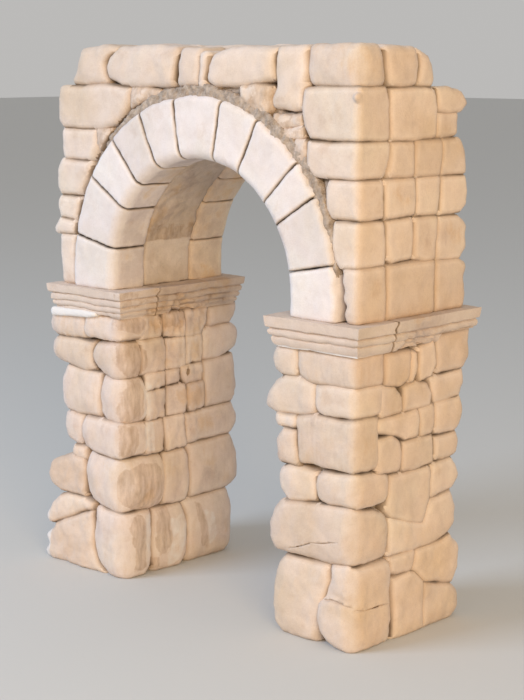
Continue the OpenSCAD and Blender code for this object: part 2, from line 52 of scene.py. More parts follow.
# Each row: the kind of stone, how far its edges are rounded, and its outlines. A quoin or a lobe
# reaches deeper into the pier than a side stone.
RIGHT_PIER = [
    # Course 1
    [("corner", 0.09, [(2.36, 1), (2.6, 1.05), (2.95, 1.08), (2.95, 0), (2.6, 0), (2.35, 0.05),
       (2.22, 0.15), (2.17, 0.3), (2.2, 0.5), (2.28, 0.7), (2.36, 0.85)],
      [(-1.25, 1.02), (-0.4, 1), (-0.3, 0.95), (-0.27, 0.8), (-0.3, 0.5), (-0.3, 0), (-1.25, 0)]),
     ("front", 0.11, [(1.61, 0.96), (2, 0.98), (2.3, 0.98), (2.33, 0.8), (2.25, 0.6), (2.2, 0.4),
       (2.18, 0.2), (2.1, 0.02), (1.75, 0), (1.55, 0.02), (1.47, 0.1), (1.44, 0.3), (1.45, 0.6),
       (1.51, 0.85)]),
     ("side", 0.05, [(-0.32, 1.02), (0.13, 1.04), (0.13, 0.9), (0.05, 0.79), (-0.2, 0.78),
       (-0.32, 0.83)]),
     ("side", 0.06, [(-0.28, 0.75), (0, 0.78), (0.12, 0.76), (0.29, 0.6), (0.3, 0.45), (0.3, 0),
       (-0.27, 0)]),
     ("quoin", 0.07, [(0.15, 1.02), (0.6, 1.03), (0.81, 1.07), (0.96, 0.9), (0.96, 0.6), (0.88, 0.45),
       (0.76, 0.48), (0.3, 0.59), (0.13, 0.75), (0.06, 0.8), (0.1, 0.88)]),
     ("quoin", 0.07, [(0.3, 0.57), (0.81, 0.44), (1, 0.28), (0.99, 0.1), (0.86, 0), (0.3, 0)])],
    # Course 2
    [("corner", 0.1, [(1.55, 1.6), (1.7, 1.63), (2, 1.67), (2.3, 1.7), (2.95, 1.74), (2.95, 1.06),
       (2.4, 1.02), (2.2, 1), (1.9, 0.98), (1.55, 0.99), (1.45, 1.03), (1.39, 1.15), (1.39, 1.3),
       (1.44, 1.5)],
      [(-1.25, 1.75), (-1, 1.72), (-0.6, 1.63), (-0.4, 1.56), (-0.34, 1.4), (-0.35, 1.15), (-0.4, 1.05),
       (-0.9, 1.03), (-1.25, 1.05)]),
     ("quoin", 0.07, [(-0.36, 1.52), (0, 1.4), (0.28, 1.33), (0.38, 1.58), (0.81, 1.6), (0.91, 1.4),
       (0.91, 1.2), (0.81, 1.1), (0.6, 1.05), (0.3, 1.02), (-0.36, 1.03)])],
    # Course 3
    [("corner", 0.075, [(2.2, 2.07), (2.5, 2.1), (2.95, 2.14), (2.95, 1.75), (2.5, 1.72), (2.25, 1.71),
       (2.15, 1.75), (2.12, 1.88), (2.14, 2)],
      [(-1.25, 2.13), (-1, 2.12), (-0.55, 2.09), (-0.38, 2.03), (-0.36, 1.85), (-0.4, 1.72),
       (-0.6, 1.65), (-1, 1.72), (-1.25, 1.74)]),
     ("front", 0.085, [(1.68, 2.07), (1.9, 2.08), (2.08, 2.05), (2.12, 1.9), (2.12, 1.72), (1.9, 1.67),
       (1.7, 1.65), (1.55, 1.75), (1.53, 1.88), (1.55, 2)]),
     ("side", 0.05, [(-0.36, 2), (0.36, 2), (0.4, 1.9), (0.39, 1.6), (0.27, 1.31), (0.03, 1.37),
       (-0.33, 1.5), (-0.44, 1.6), (-0.38, 1.8)]),
     ("quoin", 0.07, [(0.4, 2), (0.81, 2.02), (0.93, 1.9), (0.96, 1.75), (0.86, 1.65), (0.4, 1.6)])],
    # Course 4
    [("corner", 0.05, [(1.8, 2.67), (2.1, 2.73), (2.5, 2.72), (2.95, 2.76), (2.95, 2.16), (2.5, 2.11),
       (2.2, 2.09), (1.95, 2.1), (1.87, 2.15), (1.84, 2.35), (1.82, 2.52), (1.78, 2.6)],
      [(-1.25, 2.76), (-0.58, 2.73), (-0.57, 2.4), (-0.53, 2.25), (-0.58, 2.13), (-1.25, 2.18)]),
     ("front", 0.03, [(1.5, 2.6), (1.51, 2.67), (1.8, 2.68), (1.85, 2.6), (1.78, 2.53), (1.55, 2.53)]),
     ("front", 0.05, [(1.62, 2.5), (1.8, 2.5), (1.83, 2.3), (1.87, 2.1), (1.55, 2.1), (1.51, 2.15),
       (1.52, 2.35)]),
     ("side", 0.045, [(-0.62, 2.7), (0.13, 2.73), (0.16, 2.58), (0.12, 2.4), (-0.1, 2.39), (-0.3, 2.48),
       (-0.62, 2.56)]),
     ("side", 0.045, [(0.15, 2.73), (0.43, 2.73), (0.45, 2.55), (0.42, 2.38), (0.18, 2.38),
       (0.17, 2.55)]),
     ("side", 0.045, [(-0.62, 2.47), (-0.35, 2.49), (-0.18, 2.39), (-0.16, 2.2), (-0.18, 2.04),
       (-0.6, 2.06), (-0.62, 2.25)]),
     ("side", 0.045, [(-0.15, 2.37), (0.43, 2.37), (0.45, 2.2), (0.43, 2.03), (0.1, 2), (-0.15, 2.02),
       (-0.16, 2.2)]),
     ("quoin", 0.06, [(0.46, 2.74), (0.96, 2.76), (1.02, 2.6), (0.99, 2.42), (0.91, 2.34), (0.46, 2.36)]),
     ("quoin", 0.06, [(0.46, 2.33), (0.91, 2.33), (0.96, 2.2), (0.91, 2.06), (0.76, 2.03), (0.46, 2.05)])],
    # Course 5
    [("corner", 0.06, [(2.12, 3.08), (2.4, 3.12), (2.95, 3.12), (2.95, 2.77), (2.4, 2.73), (2.2, 2.73),
       (2.13, 2.8), (2.1, 2.95)],
      [(-1.25, 3.12), (-0.48, 3.1), (-0.46, 2.95), (-0.5, 2.77), (-1.25, 2.77)]),
     ("front", 0.08, [(1.62, 3.13), (1.92, 3.13), (2.1, 3.08), (2.11, 2.75), (1.9, 2.7), (1.55, 2.67),
       (1.32, 2.71), (1.31, 2.77), (1.37, 2.9), (1.47, 3.03)]),
     ("side", 0.045, [(-0.56, 3.09), (-0.26, 3.05), (-0.14, 2.9), (-0.14, 2.73), (-0.56, 2.71)]),
     ("side", 0.045, [(-0.13, 3.02), (0.1, 3.06), (0.32, 3), (0.39, 2.87), (0.36, 2.73), (-0.13, 2.72),
       (-0.13, 2.85)]),
     ("quoin", 0.06, [(0.36, 3.07), (1, 3.08), (1.02, 2.9), (0.96, 2.76), (0.45, 2.74), (0.38, 2.9)])],
    # Course 6
    [("corner", 0.05, [(1.84, 3.475), (2.95, 3.48), (2.95, 3.12), (2.4, 3.11), (2, 3.11), (1.88, 3.17),
       (1.84, 3.28)],
      [(-1.25, 3.475), (-0.51, 3.48), (-0.5, 3.1), (-1.25, 3.13)]),
     ("front", 0.07, [(1.5, 3.475), (1.82, 3.48), (1.84, 3.3), (1.8, 3.14), (1.57, 3.14), (1.47, 3.2),
       (1.43, 3.3)]),
     ("side", 0.032, [(-0.49, 3.45), (-0.02, 3.43), (-0.05, 3.1), (-0.2, 3.03), (-0.48, 3.08)]),
     ("side", 0.03, [(-0.01, 3.42), (0.08, 3.4), (0.1, 3.2), (0.02, 3.05), (-0.05, 3.08)]),
     ("side", 0.032, [(0.12, 3.46), (0.41, 3.52), (0.44, 3.22), (0.36, 3.08), (0.15, 3.04), (0.11, 3.2)]),
     ("quoin", 0.06, [(0.44, 3.56), (1.1, 3.59), (1.1, 3.2), (1, 3.1), (0.5, 3.1), (0.46, 3.25)])]]
CAD_MERGE = 0.0005
FAR = 9.0
HIDDEN_GRAIN = 0.04
HIDDEN_ROUNDING = 0.06
HIDDEN_SWELL = 0.014
HIDDEN_MOST = 0.22
FREE_REACH = 0.06
USUAL_COURSE = "3"


def only(piece):
    """Makes a piece the one selected and active object."""
    bpy.ops.object.select_all(action="DESELECT")
    piece.select_set(True)
    bpy.context.view_layer.objects.active = piece


def rows_of(piece, field):
    """One vector for each of the piece's points, as an array of rows."""
    flat = np.empty(len(piece.data.vertices) * 3)
    piece.data.vertices.foreach_get(field, flat)
    return flat.reshape(-1, 3)


def points_of(piece):
    """Where the piece's points are."""
    return rows_of(piece, "co")


def normals_of(piece):
    """Which way the surface faces at the piece's points."""
    return rows_of(piece, "normal")


def set_points(piece, points):
    """Moves the piece's points to the rows of an array."""
    piece.data.vertices.foreach_set("co", points.ravel())
    piece.data.update()


def mark(piece, name, values):
    """Stores one number for each point, for the material to read."""
    layer = piece.data.attributes.get(name) or piece.data.attributes.new(name, "FLOAT", "POINT")
    layer.data.foreach_set("value", np.asarray(values, dtype=np.float32))


def mark_all(piece, name, value):
    """Stores the same number for every point."""
    mark(piece, name, np.full(len(piece.data.vertices), value))


def apply_modifiers(piece):
    """Applies a piece's modifiers from the top of the stack down."""
    only(piece)
    for modifier in list(piece.modifiers):
        bpy.ops.object.modifier_apply(modifier=modifier.name)


def stones_of(node):
    """Copies a course out of the frame and parts it into its single stones."""
    stone = bpy.data.objects.new(node + "_stone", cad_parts[node].data.copy())
    bpy.context.scene.collection.objects.link(stone)
    stone.data.materials.clear()
    only(stone)
    bpy.ops.object.mode_set(mode="EDIT")
    bpy.ops.mesh.select_all(action="SELECT")
    bpy.ops.mesh.remove_doubles(threshold=CAD_MERGE)
    bpy.ops.mesh.separate(type="LOOSE")
    bpy.ops.object.mode_set(mode="OBJECT")
    stones = list(bpy.context.selected_objects)
    return sorted(stones, key=lambda s: tuple(np.round(points_of(s).mean(0), 3)))


def prism(name, outline, axis, start, end):
    """Draws an outline on the front (axis y) or the side (axis x) and extrudes it into the wall."""
    if axis == "y":
        rows = [(u, start, v) for u, v in outline]
        run = (0, end - start, 0)
    else:
        rows = [(start, u, v) for u, v in outline]
        run = (end - start, 0, 0)
    mesh = bpy.data.meshes.new(name)
    mesh.from_pydata(rows, [], [range(len(rows))])
    stone = bpy.data.objects.new(name, mesh)
    bpy.context.scene.collection.objects.link(stone)
    only(stone)
    bpy.ops.object.mode_set(mode="EDIT")
    bpy.ops.mesh.select_all(action="SELECT")
    bpy.ops.mesh.extrude_region_move(TRANSFORM_OT_translate={"value": run})
    bpy.ops.mesh.select_all(action="SELECT")
    bpy.ops.mesh.normals_make_consistent(inside=False)
    bpy.ops.object.mode_set(mode="OBJECT")
    return stone


def trim(stone, other, operation):
    """Trims a stone by another shape, which is then dropped."""
    trimmed = stone.modifiers.new("trimmed", "BOOLEAN")
    trimmed.operation = operation
    trimmed.object = other
    apply_modifiers(stone)
    bpy.data.objects.remove(other)
    return stone


def even_faces(stone, grain):
    """Covers a squared stone with an even mesh of small faces."""
    remesh = stone.modifiers.new("even_faces", "REMESH")
    remesh.mode = "VOXEL"
    remesh.voxel_size = grain
    apply_modifiers(stone)


def soften(stone, grain, rounding, swell):
    """Wears the arrises of an evenly meshed stone, then swells it to close the joints."""
    worn = stone.modifiers.new("worn_arrises", "SMOOTH")
    worn.factor = 0.5
    worn.iterations = max(2, round((2 * rounding / grain) ** 2))
    if swell:
        swollen = stone.modifiers.new("swollen_beds", "DISPLACE")
        swollen.strength = swell
        swollen.mid_level = 0
    apply_modifiers(stone)


def wear_down(stone, node, grain, rounding, swell):
    """Rounds a squared stone of the hidden faces and marks its joints, not its free faces."""
    points = points_of(stone)
    low, high = points.min(0), points.max(0)
    even_faces(stone, grain)
    soften(stone, grain, min(rounding, HIDDEN_MOST * float(min(high - low))), swell)
    points = points_of(stone)
    usual = node[:-1] + USUAL_COURSE if node[-1].isdigit() else node
    free_low = low < np.maximum(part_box(node)[0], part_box(usual)[0]) + FREE_REACH
    free_high = high > np.minimum(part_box(node)[1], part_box(usual)[1]) - FREE_REACH
    free_low[2], free_high[2] = False, node == "top_course"
    depth = np.hstack([points - low + FAR * free_low, high - points + FAR * free_high]).min(1)
    mark_joints(stone, depth)
    mark_all(stone, "tint", random.random())


def edge_depth(points, outline):
    """How deep each (u, v) row lies inside an outline; outside it the distance is negative."""
    best = np.full(len(points), FAR)
    inside = np.zeros(len(points), bool)
    for a, b in zip(outline, outline[1:] + outline[:1]):
        a, b = np.array(a, float), np.array(b, float)
        along = np.clip(((points - a) @ (b - a)) / ((b - a) @ (b - a)), 0, 1)
        best = np.minimum(best, np.linalg.norm(points - a - along[:, None] * (b - a), axis=1))
        if a[1] != b[1]:
            spans = (a[1] > points[:, 1]) != (b[1] > points[:, 1])
            crossing = a[0] + (points[:, 1] - a[1]) * (b[0] - a[0]) / (b[1] - a[1])
            inside ^= spans & (points[:, 0] < crossing)
    return np.where(inside, best, -best)


LOOK_NEAR = 0.06
LOOK_FAR = 0.13
GRIME_OUTSIDE = 0.02
GRIME_WIDTH = 0.12


def meets(points, normals, axis, outlines):
    """Tells which points have another stone of the same face just beyond the edge they turn to."""
    face = points[:, [1 - axis, 2]]
    turn = normals[:, [1 - axis, 2]]
    turn = turn / np.maximum(np.linalg.norm(turn, axis=1), 0.01)[:, None]
    near, far = face + LOOK_NEAR * turn, face + LOOK_FAR * turn
    reach = [np.maximum(edge_depth(near, row), edge_depth(far, row)) for row in outlines]
    return np.max(reach, axis=0) > 0


def wall_of(rows, side_more, front_more):
    """All outlines on the side and on the front of a wall, to know where its stones meet."""
    sides = [row[-1] for row in rows if row[0] != "front"]
    fronts = [row[2] for row in rows if row[0] in ("corner", "front")]
    return sides + side_more, fronts + front_more


def rounded(depth, reach):
    """The fall of a rounded edge: one at the edge itself, nothing from the reach inwards."""
    return 1 - np.sqrt(1 - (1 - np.clip(depth / reach, 0, 1)) ** 2)


def mark_joints(stone, depth):
    """Marks the grime of the joints, full just outside the outline and gone well inside it."""
    mark(stone, "joint", np.clip(1 - (depth + GRIME_OUTSIDE) / GRIME_WIDTH, 0, 1))


UNEVEN = 0.012
CORNER_BACK_Y = 0.4
CORNER_RETURN = 1.6
DRAWN_MOST = 0.25
PILLOW_FALL = 0.8
PILLOW_REACH = 2.2
PILLOW_DEPTH = 2.5
ARRIS_SHARPNESS = 1.7
FACE_INSIDE = 0.04
USUAL_BACK = 0.5
NEAR_SIDE = 0.15
NEAR_END = 0.9
USUAL_GRAIN = 0.03
CRACKED_GRAIN = 0.024


def drawn_stone(name, kind, rounding, outlines, wall, front_y, side_x, front_end, side_end, grain):
    """One stone from its outlines: a prism with its faces pulled back to the joints as a pillow."""
    swell = 0.02 + 0.16 * rounding
    front_y += random.uniform(-UNEVEN, UNEVEN) + swell
    side_x += random.uniform(-UNEVEN, UNEVEN) - swell
    front_face = (1, front_y, 1, outlines[0])
    side_face = (0, side_x, -1, outlines[-1])
    if kind == "corner":
        stone = trim(prism(name, outlines[0], "y", front_y, CORNER_BACK_Y),
                     prism(name, outlines[1], "x", side_x, side_x - CORNER_RETURN), "INTERSECT")
        faces = [front_face, side_face]
    elif kind == "front":
        stone = prism(name, outlines[0], "y", front_y, front_end)
        faces = [front_face]
    else:
        stone = prism(name, outlines[0], "x", side_x, side_end)
        faces = [side_face]
    points = points_of(stone)
    rounding = min(rounding, DRAWN_MOST * float(min(points.max(0) - points.min(0))))
    even_faces(stone, grain)
    points = points_of(stone)
    moved = points.copy()
    for axis, plane, inward, outline in faces:
        depth = edge_depth(points[:, [1 - axis, 2]], outline)
        if kind == "corner":
            arris = side_x if axis else front_y
            depth = np.minimum(depth, ARRIS_SHARPNESS * np.abs(points[:, 1 - axis] - arris))
        near = np.clip(1 - np.abs(points[:, axis] - plane) / (PILLOW_DEPTH * rounding), 0, 1)
        fall = rounded(depth, PILLOW_REACH * rounding)
        moved[:, axis] += inward * PILLOW_FALL * rounding * fall * near
    set_points(stone, moved)
    soften(stone, grain, max(0.02, 0.4 * rounding), swell)
    points, normals = points_of(stone), normals_of(stone)
    depth = []
    for axis, plane, inward, outline in faces:
        inside = edge_depth(points[:, [1 - axis, 2]], outline)
        on_stone = meets(points, normals, axis, wall[axis]) | (inside > FACE_INSIDE)
        depth.append(np.where(on_stone, inside, 1))
    if kind == "corner":
        depth[0] = np.where(np.abs(normals[:, 1]) > np.abs(normals[:, 0]), depth[0], depth[1])
    mark_joints(stone, depth[0])
    mark_all(stone, "tint", random.random())
    return stone


def drawn_course(node, rows, wall, front_y, side_x, visible_side=True, grain=USUAL_GRAIN):
    """A course of drawn stones, with the squared stones of the faces that aren't drawn."""
    stones, front_end, quoin_end = [], front_y + USUAL_BACK, side_x - USUAL_BACK
    for stone in stones_of(node):
        low, high = points_of(stone).min(0), points_of(stone).max(0)
        on_side = visible_side and high[0] > side_x - NEAR_SIDE
        on_front = low[1] < -NEAR_END
        if on_front:
            front_end = high[1]
        if on_side and high[1] > NEAR_END:
            quoin_end = low[0]
        if on_front or on_side:
            bpy.data.objects.remove(stone)
        else:
            wear_down(stone, node, HIDDEN_GRAIN, HIDDEN_ROUNDING, HIDDEN_SWELL)
            stones.append(stone)
    for kind, rounding, *outlines in rows:
        side_end = quoin_end if kind in ("quoin", "lobe") else side_x - SIDE_DEPTH
        stones.append(drawn_stone(node, kind, rounding, outlines, wall, front_y, side_x, front_end,
                                  side_end, grain))
    return stones


def join_as(name, stones):
    """Joins the stones of a group into one piece."""
    bpy.ops.object.select_all(action="DESELECT")
    for stone in stones:
        stone.select_set(True)
    bpy.context.view_layer.objects.active = stones[0]
    if len(stones) > 1:
        bpy.ops.object.join()
    piece = bpy.context.view_layer.objects.active
    piece.name = name
    piece.data.name = name
    return piece


WANDER_SIZE = 0.3
LUMP_SIZE = 0.32
PIT_SIZE = 0.09


def clouds(name, size, kind):
    """A cloudy field for displacement, shared by all pieces so that joints stay closed."""
    texture = bpy.data.textures.get(name) or bpy.data.textures.new(name, "CLOUDS")
    texture.noise_scale = size
    texture.cloud_type = kind
    texture.noise_depth = 2
    return texture


def roughen(piece, wander, lumps, pits):
    """Makes the lines of the stones wander, then adds broad lumps and small pits."""
    bent = piece.modifiers.new("wander", "DISPLACE")
    bent.texture = clouds("wander", WANDER_SIZE, "COLOR")
    bent.direction = "RGB_TO_XYZ"
    bent.strength = wander
    for name, size, strength in (("lumps", LUMP_SIZE, lumps), ("pits", PIT_SIZE, pits)):
        raised = piece.modifiers.new(name, "DISPLACE")
        raised.texture = clouds(name, size, "GRAYSCALE")
        raised.strength = strength
    apply_modifiers(piece)
    points = points_of(piece)
    points[:, 2] = np.maximum(points[:, 2], 0)
    set_points(piece, points)


def new_material(name, shine):
    """A material with a shader of little shine and the object's own coordinates."""
    material = bpy.data.materials.new(name)
    material.use_nodes = True
    tree = material.node_tree
    tree.nodes["Principled BSDF"].inputs["Specular IOR Level"].default_value = shine
    tree.nodes.new("ShaderNodeTexCoord")
    return material, tree


def object_place(tree):
    """The socket that gives the object's own coordinates."""
    return tree.nodes["Texture Coordinate"].outputs["Object"]


def paint(tree, socket, value):
    """Feeds one socket of the shader."""
    tree.links.new(value, tree.nodes["Principled BSDF"].inputs[socket])


def noise_node(tree, scale, detail, roughness=0.55, place=None):
    """Noise on the object's coordinates, or on a stretched copy of them."""
    node = tree.nodes.new("ShaderNodeTexNoise")
    node.inputs["Scale"].default_value = scale
    node.inputs["Detail"].default_value = detail
    node.inputs["Roughness"].default_value = roughness
    tree.links.new(object_place(tree) if place is None else place, node.inputs["Vector"])
    return node.outputs["Fac"]


def ramp_node(tree, source, stops):
    """Turns a number into a colour; the first two stops are the ends of the ramp."""
    node = tree.nodes.new("ShaderNodeValToRGB")
    for i, (at, colour) in enumerate(stops):
        stop = node.color_ramp.elements[i] if i < 2 else node.color_ramp.elements.new(at)
        stop.position = at
        stop.color = (*colour, 1)
    tree.links.new(source, node.inputs["Fac"])
    return node.outputs["Color"]


def mix_node(tree, blend, amount, a, b):
    """Lays one colour over another, by a fixed amount or by a socket."""
    node = tree.nodes.new("ShaderNodeMix")
    node.data_type = "RGBA"
    node.blend_type = blend
    if isinstance(amount, float):
        node.inputs["Factor"].default_value = amount
    else:
        tree.links.new(amount, node.inputs["Factor"])
    tree.links.new(a, node.inputs["A"])
    if isinstance(b, tuple):
        node.inputs["B"].default_value = (*b, 1)
    else:
        tree.links.new(b, node.inputs["B"])
    return node.outputs["Result"]


def math_node(tree, operation, *values):
    """Works out a sum of fixed numbers and sockets."""
    node = tree.nodes.new("ShaderNodeMath")
    node.operation = operation
    for socket, value in zip(node.inputs, values):
        if isinstance(value, float):
            socket.default_value = value
        else:
            tree.links.new(value, socket)
    return node.outputs[0]


def range_node(tree, source, low, high, new_low=0, new_high=1):
    """Brings the numbers of one range into another."""
    node = tree.nodes.new("ShaderNodeMapRange")
    node.inputs["From Min"].default_value = low
    node.inputs["From Max"].default_value = high
    node.inputs["To Min"].default_value = new_low
    node.inputs["To Max"].default_value = new_high
    tree.links.new(source, node.inputs["Value"])
    return node.outputs["Result"]


def layer_node(tree, attribute):
    """Reads a number that was marked on the points."""
    node = tree.nodes.new("ShaderNodeAttribute")
    node.attribute_name = attribute
    return node.outputs["Fac"]


def ragged_node(tree, value, wave, amount, low, high):
    """Fades a marked number in between low and high, with an edge that noise makes ragged."""
    waved = math_node(tree, "MULTIPLY_ADD", wave, float(amount), value)
    return range_node(tree, waved, low + amount / 2, high + amount / 2)


def relief(tree, height, strength, distance):
    """Roughens the shading of a surface by a height."""
    node = tree.nodes.new("ShaderNodeBump")
    node.inputs["Strength"].default_value = strength
    node.inputs["Distance"].default_value = distance
    tree.links.new(height, node.inputs["Height"])
    paint(tree, "Normal", node.outputs["Normal"])


WHITE = (1, 1, 1)
ROSY = (0.99, 0.965, 0.985)
# Warm side light painted on the outer side of a stone, and the width it fades in over
PAINTED_SIDE_LIGHT = (0.99, 0.925, 0.845)
PAINTED_SIDE_LIGHT_FADE = 0.06
LIME = (0.79, 0.76, 0.745)
STREAK_STRETCH = (3, 3, 0.7)
# Mottle, smudges and specks: size, detail and roughness of the noise, its stops, and how strong
TONE_LAYERS = [(5, 6, 0.65, [(0.3, (0.86, 0.83, 0.80)), (0.6, WHITE)], 0.6),
               (2.6, 5, 0.6, [(0.6, WHITE), (0.74, (0.84, 0.77, 0.71))], 0.7),
               (70, 4, 0.55, [(0.3, (0.86, 0.84, 0.82)), (0.55, WHITE)], 0.5)]


def limestone(name, pale, warm, grime, bump=0.35, open_from=0.4, painted_side_light_x=None):
    """Worn limestone: drifting pale and warm tones, a tint for each stone, grime in the joints,
    fine grain and pits, and where wanted brown water stains and clouding, partly stain and partly
    painted shade. Past the x given for it, warm side light is painted on the outer side."""
    material, tree = new_material(name, 0.25)
    rosy = tuple(min(1, c * k) for c, k in zip(pale, ROSY))
    drift = ramp_node(tree, noise_node(tree, 0.9, 3), [(0.34, pale), (0.68, warm), (0.5, rosy)])
    tone = ramp_node(tree, layer_node(tree, "tint"), [(0, (0.89, 0.87, 0.85)), (1, WHITE)])
    colour = mix_node(tree, "MULTIPLY", 1.0, drift, tone)
    for scale, detail, roughness, stops, amount in TONE_LAYERS:
        layer = ramp_node(tree, noise_node(tree, scale, detail, roughness), stops)
        colour = mix_node(tree, "MULTIPLY", amount, colour, layer)
    # Painted light: past the given x the outer side is tinted warmer, as if lit by the warm fill from the
    # right
    if painted_side_light_x:
        apart = tree.nodes.new("ShaderNodeSeparateXYZ")
        tree.links.new(object_place(tree), apart.inputs["Vector"])
        outer = range_node(tree, apart.outputs["X"], painted_side_light_x, painted_side_light_x + PAINTED_SIDE_LIGHT_FADE)
        colour = mix_node(tree, "MULTIPLY", outer, colour, PAINTED_SIDE_LIGHT)
    # Cloudy marks, which are weak water stains and under the ring painted shade, and strong streaked water
    # stains, with a ragged edge
    stretch = tree.nodes.new("ShaderNodeMapping")
    stretch.inputs["Scale"].default_value = STREAK_STRETCH
    tree.links.new(object_place(tree), stretch.inputs["Vector"])
    streak = noise_node(tree, 6, 5, place=stretch.outputs["Vector"])
    cloud_stain_and_shade = ragged_node(tree, layer_node(tree, "cloud_stain_and_shade"), streak, 0.9, 0.35, 0.85)
    cloudy = ramp_node(tree, noise_node(tree, 2.8, 5, 0.6),
                       [(0.4, (0.91, 0.82, 0.70)), (0.6, (0.83, 0.805, 0.81)), (0.5, (0.94, 0.92, 0.91))])
    colour = mix_node(tree, "MULTIPLY", cloud_stain_and_shade, colour, cloudy)
    wet = noise_node(tree, 7, 6, 0.6)
    stain = ragged_node(tree, layer_node(tree, "stain"), wet, 0.7, 0.45, 0.58)
    run = ramp_node(tree, streak, [(0.36, (0.72, 0.66, 0.595)), (0.64, (0.97, 0.945, 0.92))])
    colour = mix_node(tree, "MULTIPLY", stain, colour, run)
    tide = ramp_node(tree, stain, [(0, WHITE), (1, WHITE), (0.5, (0.93, 0.895, 0.86))])
    colour = mix_node(tree, "MULTIPLY", 1.0, colour, tide)
    # White lime where plaster or a fresh break is left
    lime = ragged_node(tree, layer_node(tree, "lime"), wet, 0.5, 0.35, 0.6)
    colour = mix_node(tree, "MIX", lime, colour, LIME)
    # Joints: a pale worn rim, then grime that opens and closes along the joint
    joint = layer_node(tree, "joint")
    rim = ramp_node(tree, joint, [(0.15, WHITE), (0.8, (0.93, 0.89, 0.84)), (0.5, (1.05, 1.06, 1.07))])
    colour = mix_node(tree, "MULTIPLY", 0.9, colour, rim)
    edge = ragged_node(tree, joint, noise_node(tree, 5, 4), 0.16, 0.76, 0.98)
    gape = ramp_node(tree, noise_node(tree, 1.4, 2), [(0.38, (open_from,) * 3), (0.55, WHITE)])
    colour = mix_node(tree, "MIX", math_node(tree, "MULTIPLY", edge, gape), colour, grime)
    paint(tree, "Base Color", colour)
    paint(tree, "Roughness", range_node(tree, noise_node(tree, 12, 4), 0, 1, 0.78, 0.97))
    pits, grain = noise_node(tree, 16, 6, 0.6), noise_node(tree, 95, 5, 0.7)
    relief(tree, math_node(tree, "MULTIPLY_ADD", grain, 0.35, pits), bump, 0.02)
    return material


def finish_piece(piece, material, slot, *nodes):
    """Shades a finished piece smooth, paints it and puts it in the frame."""
    only(piece)
    bpy.ops.object.shade_smooth()
    if material:
        piece.data.materials.clear()
        piece.data.materials.append(material)
    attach(piece, "root")
    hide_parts(*nodes)
    return piece


def drop_spare_points(stone):
    """Dissolves the points that a cut leaves in the middle of an edge."""
    ends = np.empty(2 * len(stone.data.edges), dtype=np.int32)
    stone.data.edges.foreach_get("vertices", ends)
    spare = np.bincount(ends, minlength=len(stone.data.vertices)) == 2
    only(stone)
    bpy.ops.object.mode_set(mode="EDIT")
    bpy.ops.mesh.select_mode(type="VERT")
    bpy.ops.mesh.select_all(action="DESELECT")
    bpy.ops.object.mode_set(mode="OBJECT")
    stone.data.vertices.foreach_set("select", spare)
    bpy.ops.object.mode_set(mode="EDIT")
    bpy.ops.mesh.dissolve_verts()
    bpy.ops.object.mode_set(mode="OBJECT")


CUT_WALL = 0.004


def cut(stone, outline, axis, start, end, wall_shade=0):
    """Sinks an outline drawn on its face into a stone, with the asked amount of shade painted on the walls
    of the cut.
    """
    trim(stone, prism("blade", outline, axis, start, end), "DIFFERENCE")
    drop_spare_points(stone)
    joint = np.zeros(len(stone.data.vertices))
    stone.data.attributes["joint"].data.foreach_get("value", joint)
    along = 1 if axis == "x" else 0
    joint[np.abs(edge_depth(points_of(stone)[:, [along, 2]], outline)) < CUT_WALL] = wall_shade
    mark(stone, "joint", joint)


def crack(stone, line, axis, start, end, width):
    """Splits a stone along a line drawn on its face, widest in the middle."""
    half = [width / 2 * math.sin(math.pi * i / (len(line) - 1)) for i in range(len(line))]
    upper = [(u, v + h) for (u, v), h in zip(line, half)]
    lower = [(u, v - h) for (u, v), h in zip(line, half)]
    cut(stone, upper + lower[-2:0:-1], axis, start, end)


LEDGE_SLOPE = 0.045
LEDGE_FADE = 0.4
LEDGE_TOP = 1.05


def ledge(stone, line, depth):
    """Sets the front of a stone back above a line and lets it bulge below, fading to the arris."""
    points, normals = points_of(stone), normals_of(stone)
    u, v = np.array(line).T
    above = np.clip((points[:, 2] - np.interp(points[:, 0], u, v)) / LEDGE_SLOPE, -1, 1)
    fade = np.sqrt(np.clip((u[-1] + 0.05 - points[:, 0]) / LEDGE_FADE, 0, 1))
    fade *= np.where(above < 0, 1, np.clip((LEDGE_TOP - points[:, 2]) / LEDGE_FADE, 0, 1))
    points[:, 1] += depth * np.sin(above * math.pi / 2) * fade * np.clip(-normals[:, 1], 0, 1)
    set_points(stone, points)


def dull(stone):
    """Makes one stone's face darker and cloudier than its neighbours'."""
    mark_all(stone, "tint", 0)
    mark_all(stone, "cloud_stain_and_shade", 0.5)


CRACK_1 = [(-1.2, 0.53), (-0.9, 0.52), (-0.75, 0.5), (-0.6, 0.5), (-0.45, 0.49), (-0.36, 0.48)]
CRACK_2 = [(1.7, 1.07), (1.83, 1.11), (1.95, 1.16), (2.1, 1.23), (2.25, 1.245), (2.38, 1.28),
           (2.52, 1.31)]
LEDGE_1 = [(2.1, 0.5), (2.2, 0.53), (2.27, 0.57), (2.4, 0.595), (2.57, 0.585), (2.74, 0.53)]
LEDGE_DEPTH = 0.045
DULL_COURSES = (3, 5)
CUT_START = 0.1
IMPOST_BAND = [(-4, 3.475), (4, 3.475), (4, 3.835), (-4, 3.835)]
PIER_GRIME = (0.17, 0.12, 0.085)
# How far in from the outer side the painted warm side light starts
PAINTED_SIDE_LIGHT_START = 0.06
random.seed(11)
right_wall = wall_of(sum(RIGHT_PIER, []), [IMPOST_BAND], [IMPOST_BAND])
# The pier stone has warm side light painted on its outer side
pier_stone = limestone("pier_limestone", (0.79, 0.68, 0.585), (0.73, 0.59, 0.465), PIER_GRIME,
                       painted_side_light_x=RIGHT_SIDE_X - PAINTED_SIDE_LIGHT_START)
